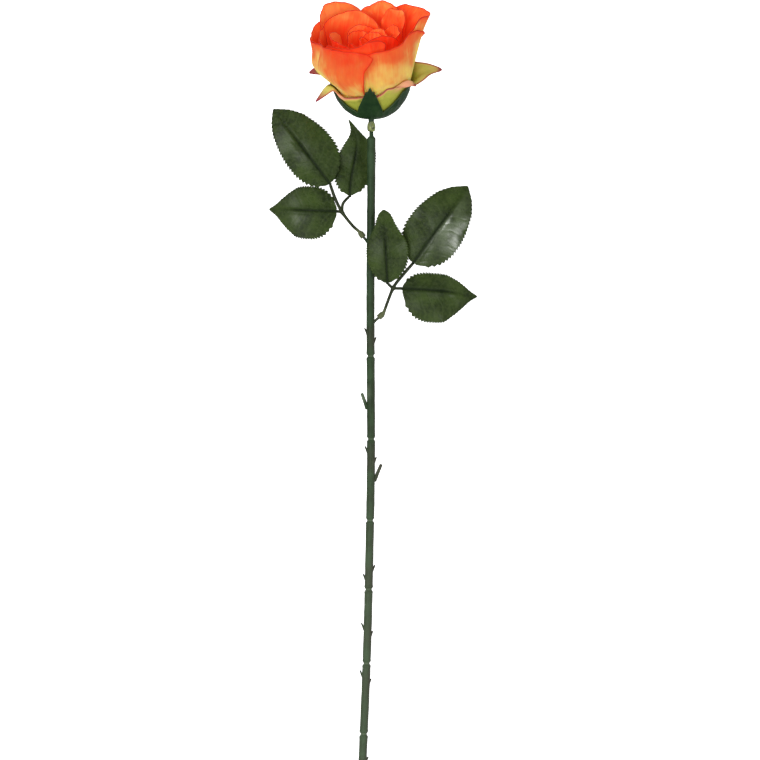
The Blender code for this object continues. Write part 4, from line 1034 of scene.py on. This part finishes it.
def petal_grid(layer, root_azimuth, petal, seed):
    """One petal: from the hub out along the bowl, up its belly and out at the rim."""
    u = np.linspace(-1, 1, PETAL_COLUMNS)[:, None] + np.zeros((1, PETAL_ROWS))
    v = np.linspace(0, 1, PETAL_ROWS)[None, :] + np.zeros((PETAL_COLUMNS, 1))
    t = v * (1 - CORNER_CUT * np.abs(u) ** 5)
    rim_r, rim_z, belly = (across(u, *petal[key]) for key in ("rim_r", "rim_z", "belly"))
    bowl = []
    for degrees, least_radius, least_rise in BOWL_POINTS:
        radius, height = in_ball(layer["inset"], degrees)
        bowl.append((max(radius, least_radius), max(height, layer["hub"] + least_rise)))
    (r1, z1), (r2, z2) = bowl
    low_belly = np.minimum((1 - BELLY_SHARE) * r2 + BELLY_SHARE * belly, LOW_BELLY)
    lean = petal.get("lean", LEAN)
    high_belly = (1 - lean) * belly + lean * rim_r
    radius = through([layer["root"][0], r1, r2, low_belly, belly, high_belly, rim_r], t)
    rises = [z2 + share * (rim_z - z2) for share in BELLY_RISE]
    height = through([layer["hub"], z1, z2, *rises, rim_z], t)
    roll = np.radians(across(u, *ROLL)) * np.clip((t - ROLL_START) / (1 - ROLL_START), 0, 1) ** 1.5
    out, up = np.diff(radius, axis=1), np.diff(height, axis=1)
    roll = (roll[:, 1:] + roll[:, :-1]) / 2
    radius[:, 1:] = radius[:, :1] + np.cumsum(out * np.cos(roll) + up * np.sin(roll), axis=1)
    height[:, 1:] = height[:, :1] + np.cumsum(up * np.cos(roll) - out * np.sin(roll), axis=1)
    radius = radius + across(u, *petal.get("edges", LAP)) * eased(v, *LAP_ROWS)
    radius = radius + petal.get("crease", CREASE) * crumple(u, v, seed) * eased(v, *CREASE_ROWS)
    radius = radius + RIPPLE * crumple(1.6 * u, 0.3 * v, seed + 50) * eased(v, *RIPPLE_ROWS)
    height = height + RIM_WAVE * crumple(1.2 * u, 0 * v, seed + 90) * eased(v, *RIM_WAVE_ROWS)
    root_azimuth, root_span = petal.get("root", (root_azimuth, ROOT_SPREAD / len(layer["petals"])))
    half = root_span + (petal["span"] - root_span) * eased(v, *WIDENING_ROWS)
    middle = root_azimuth + (petal["az"] - root_azimuth) * eased(v, *SWING_ROWS)
    flare = petal.get("flare", 0) * (1 + u) * eased(v, *FLARE_ROWS)
    return polar_grid(radius, middle + half * u + flare, height)


def spread(u, value):
    """A number, or one that runs through several from side to side of a petal."""
    return across(u, *value) if isinstance(value, tuple) else value + 0 * u


def lengths(grid):
    """Distances from the root along each column, and from the nearest cut edge, over a petal's grid."""
    length, over = run_of(grid, 1), run_of(grid, 0)
    return length, np.minimum(np.minimum(over, over[-1:] - over), length[:, -1:] - length)


def hub_ring(height, edge, sides=40):
    """A flat ring round the pin at the middle of a layer."""
    low, high = height - HUB_THICK / 2, height + HUB_THICK / 2
    points, faces = [], []
    for k in range(sides):
        turn = 2 * math.pi * k / sides
        for r, z in ((HUB_HOLE, low), (edge, low), (edge, high), (HUB_HOLE, high)):
            points.append((r * math.cos(turn), r * math.sin(turn), z))
        for j in range(4):
            a, b = k * 4 + j, k * 4 + (j + 1) % 4
            faces.append((a, b, (b + 4) % (4 * sides), (a + 4) % (4 * sides)))
    return points, faces


# The dyes from the root to the rim, outside and inside.
OUTER_STOPS = (
    (0, (0.93, 0.67, 0.14)),
    (0.34, (0.95, 0.61, 0.14)),
    (0.47, (0.87, 0.45, 0.11)),
    (0.65, (0.82, 0.15, 0.032)),
    (0.92, (0.80, 0.075, 0.016)),
    (1, (0.80, 0.045, 0.010)),
)
INNER_STOPS = (
    (0, (0.80, 0.02, 0.003)),
    (0.45, (0.86, 0.030, 0.005)),
    (0.72, (0.93, 0.075, 0.015)),
    (0.87, (0.96, 0.15, 0.034)),
    (1, (0.98, 0.32, 0.085)),
)
PETAL_BAND = (0.80, 0.045, 0.011, 1)
PETAL_EDGE = (0.40, 0.016, 0.010, 1)
# Light that filters through the layers: a faint glow in the folds.
GLOW = (1.0, 0.085, 0.018, 1)
GLOW_STRENGTH = 0.21
LOW_GLOW = 0.6
GLOW_RISE = (48, 70)
HUB_MARKS = {"dye": 0, "inner": 1, "rim": 5, "across": 0, "along": 0, "seed": 0, "glow": 1}
petal_fabric, petal_tree = dyed_fabric(
    "petal_fabric",
    OUTER_STOPS,
    INNER_STOPS,
    PETAL_BAND,
    PETAL_EDGE,
    band=3.0,
    inner_band=0.35,
    edge_width=1.05,
)
painted(
    petal_tree,
    Subsurface_Weight=0.7,
    Subsurface_Radius=(1.0, 0.30, 0.10),
    Subsurface_Scale=0.0015,
    Specular_IOR_Level=0.12,
    Emission_Color=mixed(petal_tree, marked(petal_tree, "glow"), (0, 0, 0, 1), GLOW),
    Emission_Strength=GLOW_STRENGTH,
)

for layer in (OUTER, SECOND, MIDDLE, INNER, BUD):
    node, petals = layer["node"], layer["petals"]
    step = 360 / len(petals)
    first_root = np.mean([petal["az"] - step * k for k, petal in enumerate(petals)])
    grids = []
    for k, petal in enumerate(petals):
        grid = petal_grid(layer, first_root + step * k, petal, int(10 * layer["inset"]) + k)
        grids.append(bent_clear(room, grid))
    points, faces = hub_ring(layer["hub"], layer["root"][1])
    marks = {mark: np.full(len(points), value) for mark, value in HUB_MARKS.items()}
    new_piece(node + "_hub", in_world(np.array(points)), faces, petal_fabric, node, "petal_fabric", marks)
    for k, grid in enumerate(grids):
        take_room(room, grid)
        length, rim = lengths(grid)
        points, faces = sheet(grid, FABRIC_THICK)
        u = np.linspace(-1, 1, PETAL_COLUMNS)[:, None]
        look = layer["look"] | petals[k]
        pale, inner_pale, clean = (spread(u, look[name]) for name in ("pale", "inner_pale", "clean_edge"))
        dyes = (length / length.max() - pale, length / length.max() - inner_pale)
        marks = cloth_marks(grid, length, dyes, rim + clean, layer["inset"] + 3 * k)
        glow = LOW_GLOW * (1 + eased(grid[..., 2], *GLOW_RISE))
        marks["glow"] = on_both(look["glow"] * glow, glow)
        new_piece(f"{node}_{k + 1}", in_world(points), faces, petal_fabric, node, "petal_fabric", marks)

# Each leaf stalk is moulded green plastic: a ribbed sleeve pushed over a peg of the stem, a thin rachis with
# a small node where the side twigs leave it, and a peg under each leaflet's base.
STALK_RADIUS = 1.1
STALK_STEP = 1.2
TWIG_RADIUS = 0.93 * STALK_RADIUS
TWIG_STEP = 1.0
STALK_SIDES = 16
END_TAPER = 0.72
NODE_SWELL = 0.55
NODE_REACH = 1.6
SLEEVE_RADIUS = 2.1
SLEEVE_START = 7.9
SLEEVE_LENGTH = 4.6
SLEEVE_LIP = 0.25
SLEEVE_SHOULDER = 0.6
SLEEVE_RIB = 0.12
# The ribs' turn in radians a millimetre; their first and last ring, and how many rings.
RIB_TURN = 5.2
SLEEVE_RINGS = (0.2, 3.4, 13)
SLEEVE_DEPTH = 3.0
# The rubbed patch: its middle from the sleeve's mouth, and the distances over which it fades.
WORN_AT = 2.0
WORN_REACH = (3.0, 8.0)
STALK_DARK = (0.010, 0.016, 0.006, 1)
STALK_PALE = (0.034, 0.044, 0.018, 1)
STALK_RUBBED = (0.13, 0.15, 0.07, 1)
STALKS = dict(
    leaf_stalk_left=dict(
        peg=STALK_PEGS[0],
        route=((-14.9, 119.0, 10.6), (-21.9, 128.1, 10.7), (-26.8, 137.9, 10.7), (-30.2, 147.4, 10.35)),
        branches=(
            ((-21.9, 128.1, 10.7), (-21.2, 134.0, 9.6), (-16.8, 139.2, 7.5)),
            ((-21.9, 128.1, 10.7), (-25.1, 128.5, 10.5)),
        ),
    ),
    leaf_stalk_right=dict(
        peg=STALK_PEGS[1],
        route=((13.8, 74.6, 14.0), (20.1, 83.3, 13.1), (27.6, 92.0, 11.6)),
        branches=(
            ((13.8, 74.6, 14.0), (11.6, 76.6, 15.0), (10.2, 78.0, 15.5)),
            ((13.8, 74.6, 14.0), (19.9, 74.6, 12.8)),
        ),
    ),
)


def stalk_rod(points, radius, swell_at=None):
    """Stations along a route, thicker near the point swell_at and rounded at the end."""
    stations = []
    for k, point in enumerate(points):
        swell = 0
        if swell_at is not None:
            swell = NODE_SWELL * math.exp(-((math.dist(point, swell_at) / NODE_REACH) ** 2))
        taper = END_TAPER if k == len(points) - 1 else 1
        stations.append((Vector(point), facing(points, k), (radius + swell) * taper))
    return stations


stalk_plastic = moulded_plastic("stalk_plastic", STALK_DARK, STALK_PALE, 0.5, STALK_RUBBED)
for node, stalk in STALKS.items():
    root, way = stalk["peg"]
    way = Vector(way).normalized()
    mouth = Vector(root) + way * SLEEVE_START
    sleeve_end = mouth + way * SLEEVE_LENGTH
    rachis = along([tuple(sleeve_end), *stalk["route"]], STALK_STEP)
    outside = [(mouth, way, SLEEVE_RADIUS - SLEEVE_LIP)]
    for up in np.linspace(*SLEEVE_RINGS):
        outside.append((mouth + way * up, way, SLEEVE_RADIUS - SLEEVE_RIB * math.cos(up * RIB_TURN)))
    outside.append((sleeve_end, way, SLEEVE_RADIUS - SLEEVE_SHOULDER))
    outside += stalk_rod(rachis, STALK_RADIUS, stalk["branches"][0][0])[1:]
    hole = STALK_PEG_RADIUS + FIT
    parts = [swept(outside, STALK_SIDES, [(mouth, way, hole), (mouth + way * SLEEVE_DEPTH, way, hole)])]
    for branch in stalk["branches"]:
        parts.append(swept(stalk_rod(along(branch, TWIG_STEP), TWIG_RADIUS), STALK_SIDES))
    points, faces = joined(parts)
    from_sleeve = np.linalg.norm(np.array(points) - np.array(mouth + way * WORN_AT), axis=1)
    worn = {"wear_and_shade": 0.7 * (1 - eased(from_sleeve, *WORN_REACH))}
    new_piece(node + "_moulding", points, faces, stalk_plastic, node, "stalk_plastic", worn)

# Each leaflet is coated dark green fabric, saw-toothed at the edge, with veins pressed in by a hot mould and
# the weave still showing through the gloss. A stiff rib runs under its middle.
# Blade shapes: share of the length, and share of the width there.
BROAD = (
    ((0, 0.12), (0.04, 0.52), (0.13, 0.84), (0.28, 1))
    + ((0.5, 0.96), (0.75, 0.72), (0.89, 0.42), (1, 0.03))
)
POINTED = (
    ((0, 0.12), (0.04, 0.54), (0.14, 0.87), (0.3, 1), (0.54, 0.95))
    + ((0.7, 0.67), (0.81, 0.42), (0.9, 0.2), (1, 0.03))
)
BLUNT = (
    ((0, 0.12), (0.05, 0.52), (0.16, 0.84), (0.36, 1), (0.55, 0.9))
    + ((0.75, 0.56), (0.88, 0.38), (0.95, 0.26), (1, 0.05))
)
HOOKED = (
    ((0, 0.1), (0.05, 0.54), (0.16, 0.86), (0.34, 1), (0.55, 0.93))
    + ((0.68, 0.68), (0.79, 0.36), (0.88, 0.17), (1, 0.03))
)
# Each leaflet's base and tip, half widths, arch, roll and bow, and the gloss on its left and right half.
LEAFLETS = dict(
    leaflet_left_tip=dict(
        base=(-30.5, 148.1, 10.3), tip=(-70, 200.2, 0.6), left=15.8, right=20, arch=7, roll=0,
        gloss=(0.14, 0.14), shape=BROAD,
    ),
    leaflet_left_upper=dict(
        base=(-16.4, 139.9, 7.5), tip=(-17.2, 192.9, 3.2), left=12, right=15, arch=0.5, roll=8,
        gloss=(0.1, 0.15), shape=HOOKED, bow=-5.3,
    ),
    leaflet_left_lower=dict(
        base=(-25.6, 128.6, 10.4), tip=(-72.8, 130.2, 0.6), left=19.6, right=16.4, arch=7, roll=0,
        gloss=(0.2, 0.1), shape=POINTED,
    ),
    leaflet_right_tip=dict(
        base=(28, 92.6, 11.3), tip=(66.1, 146.3, 0.6), left=20.3, right=19.2, arch=8, roll=0,
        gloss=(0.2, 1.15), shape=BROAD,
    ),
    leaflet_right_upper=dict(
        base=(9.9, 78.6, 15.6), tip=(7.2, 129.6, 16.5), left=13, right=15.5, arch=3, roll=0,
        gloss=(0.12, 0.12), shape=BLUNT,
    ),
    leaflet_right_lower=dict(
        base=(20.4, 74.5, 12.7), tip=(72.7, 69.1, 0.6), left=12.3, right=21.7, arch=6, roll=-12,
        gloss=(0.1, 0.2), shape=POINTED,
    ),
)
LEAF_TEETH = 26
ROWS_PER_TOOTH = 5
LEAF_HALVES = 26
LEAST_SHARE = 0.02
LEAST_REACH = 0.3
LEAF_DROOP = 0.012
LEAF_THICK = 0.5
# Saw teeth: depth, lean towards the tip, and how close to the edge they keep.
TOOTH = 1.9
TOOTH_LEAN = 0.9
TOOTH_POWER = 12
ROW_LEAN = 0.16
# Side veins: spacing, slant, depth and width of their grooves, and swell of the cloth between them.
VEIN_SPACING = 6.2
VEIN_SLANT = 0.85
VEIN_CURVE = 0.02
VEIN_GROOVE = 0.09
VEIN_WIDTH = 0.45
VEIN_SWELL = 0.05
# The groove over the rib and the two low banks beside it: depth or height, and width.
RIB_GROOVE = (0.75, 0.8)
RIB_BANK = (0.25, 0.9)
RIB_BANK_AT = 2.0
RIB_FADE = (0.5, 0.8)
EDGE_WAVE = 0.55
PUCKER = 0.5
PUCKER_WAVES = (38, 29, 22, 17, 13)
BOW_POWER = 1.8
# The glossy patch, which also carries the painted highlight: its middle and width as shares of the length;
# gloss away from it and in it.
GLOSS_MIDDLE = 0.55
GLOSS_WIDTH = 0.21
LEAST_GLOSS = 0.15
PATCH_GLOSS = 0.9
# Painted shade in the rib's groove: strengths and widths of a dark line and of the wider shade round it.
RIB_SHADE_LINE = (0.6, 0.9)
RIB_SHADE = (0.4, 3.5)
VEIN_NET = 0.42
LEAF_PITCH = 1.15
VEIN_DEPTH = 0.00030
LEAF_DARK = (0.006, 0.015, 0.001, 1)
LEAF_PALE = (0.032, 0.060, 0.006, 1)
LEAF_SPECK = (0.060, 0.088, 0.020, 1)
LEAF_VEIN = (0.050, 0.075, 0.022, 1)
LEAF_THREAD = (0.060, 0.085, 0.030, 1)
# The colour of the painted shade along the rib.
LEAF_RIB_SHADE = (0.006, 0.013, 0.003, 1)
# Painted highlight: the pale green laid over the glossiest parts of the coat.
LEAF_PAINTED_HIGHLIGHT = (0.13, 0.18, 0.08, 1)
LEAF_UNDER = (0.075, 0.105, 0.055, 1)
RIB_DARK = (0.006, 0.012, 0.004, 1)
RIB_PALE = (0.016, 0.026, 0.009, 1)
RIB_REACH = 0.62
RIB_RADII = (1.05, 0.85, 0.6, 0.35)
RIB_SUNK = 0.45
RIB_LEAD = 1.2
RIB_SIDES = 12


def puckers(offset, along_rib, seed):
    """Soft dents of a blade that was pressed and packed, between about -1 and 1."""
    draw = np.random.default_rng(seed)
    total = 0 * offset
    for wave in PUCKER_WAVES:
        way, phase = draw.uniform(0, math.pi), draw.uniform(0, 2 * math.pi)
        distance = along_rib * math.cos(way) + offset * math.sin(way)
        total = total + wave / 60 * np.sin(2 * math.pi * distance / wave + phase)
    return total


def leaf_shape(leaf):
    """A leaflet's grid and its distances across and along the rib."""
    base, tip = np.array(leaf["base"]), np.array(leaf["tip"])
    v = np.linspace(0, 1, LEAF_TEETH * ROWS_PER_TOOTH + 1)[None, :]
    u = np.linspace(-1, 1, 2 * LEAF_HALVES + 1)[:, None]
    run = tip - base
    length = np.linalg.norm(run)
    forward = run / length
    side = np.cross([0, 0, 1], forward)
    side = side / np.linalg.norm(side)
    up = np.cross(forward, side)
    roll = math.radians(leaf["roll"])
    side, up = side * math.cos(roll) + up * math.sin(roll), up * math.cos(roll) - side * math.sin(roll)
    stops, shares = zip(*leaf["shape"])
    place = np.interp(v, stops, np.arange(len(stops))) / (len(stops) - 1)
    share = np.clip(through(list(shares), place), LEAST_SHARE, 1)
    full = np.minimum(share * 1.6, 1)
    toothed = np.abs(u) ** TOOTH_POWER
    bite = (v * LEAF_TEETH) % 1.0
    tooth = TOOTH * full * (0.5 - bite**1.3)
    reach = np.where(u > 0, leaf["left"], leaf["right"]) * share
    offset = u * np.maximum(reach + tooth * toothed, LEAST_REACH)
    far = np.abs(offset)
    along_rib = v * length + (ROW_LEAN * far * (1 - v) * share + TOOTH_LEAN * toothed * full * (bite - 0.3))
    lift = leaf["arch"] * np.sin(math.pi * v) - LEAF_DROOP * offset**2
    stray = 0.9 * np.sin(0.16 * along_rib + 3.0 * np.sign(u) + length)
    stray = stray + 0.5 * np.sin(0.45 * far + 0.21 * along_rib)
    vein = (along_rib - VEIN_SLANT * far + VEIN_CURVE * far**2 + stray) / VEIN_SPACING
    vein = (vein + 0.25 * np.sign(u)) % 1.0
    near_vein = np.minimum(vein, 1 - vein) * VEIN_SPACING
    swell = VEIN_SWELL * np.sin(math.pi * vein) * eased(far, 0.8, 4)
    swell = swell * (1 - eased(np.abs(u), 0.8, 1) * 0.6)
    pressed = -VEIN_GROOVE * bell(near_vein, VEIN_WIDTH)
    pressed = pressed * eased(far, 0.3, 1.5) * (1 - eased(np.abs(u), 0.82, 0.97))
    (groove, groove_width), (bank, bank_width) = RIB_GROOVE, RIB_BANK
    rib = -groove * bell(far, groove_width)
    rib = rib + bank * bell(far - RIB_BANK_AT, bank_width)
    rib = rib * (1 - 0.65 * eased(v, *RIB_FADE))
    wave = EDGE_WAVE * np.sin(v * 9 + u * 1.3 + leaf["arch"]) * np.abs(u) ** 1.5 * np.sin(math.pi * v)
    lift = lift + swell + pressed + rib * np.minimum(share * 2, 1) + wave
    lift = lift + PUCKER * puckers(offset, along_rib, round(length * 10)) * eased(far, 1.0, 5.0)
    bow = leaf.get("bow", 0) * np.sin(math.pi * v**BOW_POWER)
    grid = base + forward * along_rib[..., None] + side * (offset + bow)[..., None] + up * lift[..., None]
    return grid, offset, along_rib + 0 * u, near_vein + 0 * u


def vein_group():
    """The fine net of veins between the side veins, as a height from 0 to 1."""
    group, given, out = new_group("vein_net", ("Across", "Along"), ("Height",))
    place = new_node(group, "CombineXYZ", **dict(zip("XY", given.outputs))).outputs[0]
    cells = new_node(group, "TexVoronoi", Vector=place, Scale=VEIN_NET)
    cells.feature = "DISTANCE_TO_EDGE"
    group.links.new(ranged(group, cells.outputs["Distance"], 0, 0.25), out.inputs["Height"])
    return group


VEINS = vein_group()


def leaf_fabric_material():
    """Coated fabric: blotched, with pale threads and veins, painted shade along the rib, a matt back, and
    glossy patches with a painted highlight.
    """
    made, tree = new_material("leaf_fabric")
    cloth = {"Across": marked(tree, "across"), "Along": marked(tree, "along")}
    weave = use_group(tree, WEAVE, **cloth, Pitch=LEAF_PITCH).outputs["Height"]
    mottle, specks, patches = (
        use_group(tree, MOTTLE, Patch_Scale=scale, Grain_Scale=PLASTIC_GRAIN).outputs["Mask"]
        for scale in (70, 420, 34)
    )
    coat = computed(tree, "MULTIPLY", ranged(tree, patches, 0.25, 0.75), marked(tree, "gloss"))
    coat = ranged(tree, coat, 0, 1)
    colour = mixed(tree, mottle, LEAF_DARK, LEAF_PALE)
    for share, tint in (
        (ranged(tree, specks, 0.35, 0.75, 0, 0.3), LEAF_SPECK),
        (ranged(tree, marked(tree, "vein"), 0.9, 0.1, 0, 0.35), LEAF_VEIN),
        (ranged(tree, weave, 0, 1, 0, 0.4), LEAF_THREAD),
        # Painted shade along the rib's groove.
        (marked(tree, "rib"), LEAF_RIB_SHADE),
        # Painted highlight: the colour turns pale green where the coat is glossiest.
        (ranged(tree, coat, 0.25, 1, 0, 0.5), LEAF_PAINTED_HIGHLIGHT),
        (marked(tree, "under"), LEAF_UNDER),
    ):
        colour = mixed(tree, share, colour, tint)
    painted(tree, Base_Color=colour, Roughness=ranged(tree, mottle, 0, 1, 0.42, 0.54))
    painted(tree, Specular_IOR_Level=0.12, Coat_Weight=coat, Coat_Roughness=0.31, Coat_IOR=2.0)
    relief = summed(tree, (weave, 0.35), (use_group(tree, VEINS, **cloth).outputs["Height"], 1.0))
    bumped(tree, relief, VEIN_DEPTH, 0.7)
    return made


leaf_fabric = leaf_fabric_material()
rib_plastic = moulded_plastic("rib_plastic", RIB_DARK, RIB_PALE, 0.5, gloss=0.1)
for node, leaf in LEAFLETS.items():
    grid, offset, along_rib, near_vein = leaf_shape(leaf)
    share = along_rib / along_rib.max()
    middle = bell(share - GLOSS_MIDDLE, GLOSS_WIDTH)
    gloss = np.where(offset > 0, *leaf["gloss"]) * eased(np.abs(offset), 0.5, 3)
    gloss = gloss * (LEAST_GLOSS + PATCH_GLOSS * middle)
    # Painted shade along the rib: a dark line in its groove and a wider shade round it.
    line, shade = (dark * bell(offset, width) for dark, width in (RIB_SHADE_LINE, RIB_SHADE))
    marks = {
        "across": on_both(offset),
        "along": on_both(along_rib),
        "vein": on_both(near_vein),
        "rib": on_both((line + shade) * (1 - 0.8 * eased(share, *RIB_FADE))),
        "gloss": on_both(0 * gloss, gloss),
        "under": on_both(0 * offset + 1, 0 * offset),
    }
    points, faces = sheet(grid, LEAF_THICK)
    new_piece(node + "_blade", points, faces, leaf_fabric, node, "leaf_fabric", marks)
    rib_line = grid[LEAF_HALVES, : round(grid.shape[1] * RIB_REACH) : 4] - np.array([0, 0, RIB_SUNK])
    radii = np.interp(np.linspace(0, 1, len(rib_line)), np.linspace(0, 1, len(RIB_RADII)), RIB_RADII)
    stations = [(Vector(point), facing(rib_line, k), float(radii[k])) for k, point in enumerate(rib_line)]
    start, way, first_radius = stations[0]
    stations.insert(0, (start - way.normalized() * RIB_LEAD, way, first_radius))
    new_piece(node + "_rib", *swept(stations, RIB_SIDES), rib_plastic, node, "leaf_fabric")

# Light: a pale room, a broad soft box beside the camera, and two smaller ones from the left and the right.
ROOM_WHITE = (1, 1, 1, 1)
ROOM_STRENGTH = 0.3
world = bpy.data.worlds.new("pale_room")
world.use_nodes = True
background = world.node_tree.nodes["Background"]
background.inputs["Color"].default_value = ROOM_WHITE
background.inputs["Strength"].default_value = ROOM_STRENGTH
bpy.context.scene.world = world


def light_panel(name, place, width, power):
    """A square area light that faces the middle of the rose."""
    data = bpy.data.lights.new(name, "AREA")
    data.size = width
    data.energy = power
    panel = bpy.data.objects.new(name, data)
    panel.location = place
    panel.rotation_euler = (-Vector(place)).to_track_quat("-Z", "Y").to_euler()
    bpy.context.scene.collection.objects.link(panel)


# Panels: place, width and power.
PANELS = dict(
    top_panel=((-0.60, -0.15, 2.1), 1.1, 24),
    foot_panel=((-0.1, -1.5, 1.0), 0.8, 4),
    left_panel=((-1.2, 0.7, 1.3), 0.8, 10),
    right_panel=((1.1, -0.2, 1.2), 0.6, 8),
)
for panel_name, panel_values in PANELS.items():
    light_panel(panel_name, *panel_values)
bpy.context.scene.view_settings.view_transform = "Standard"
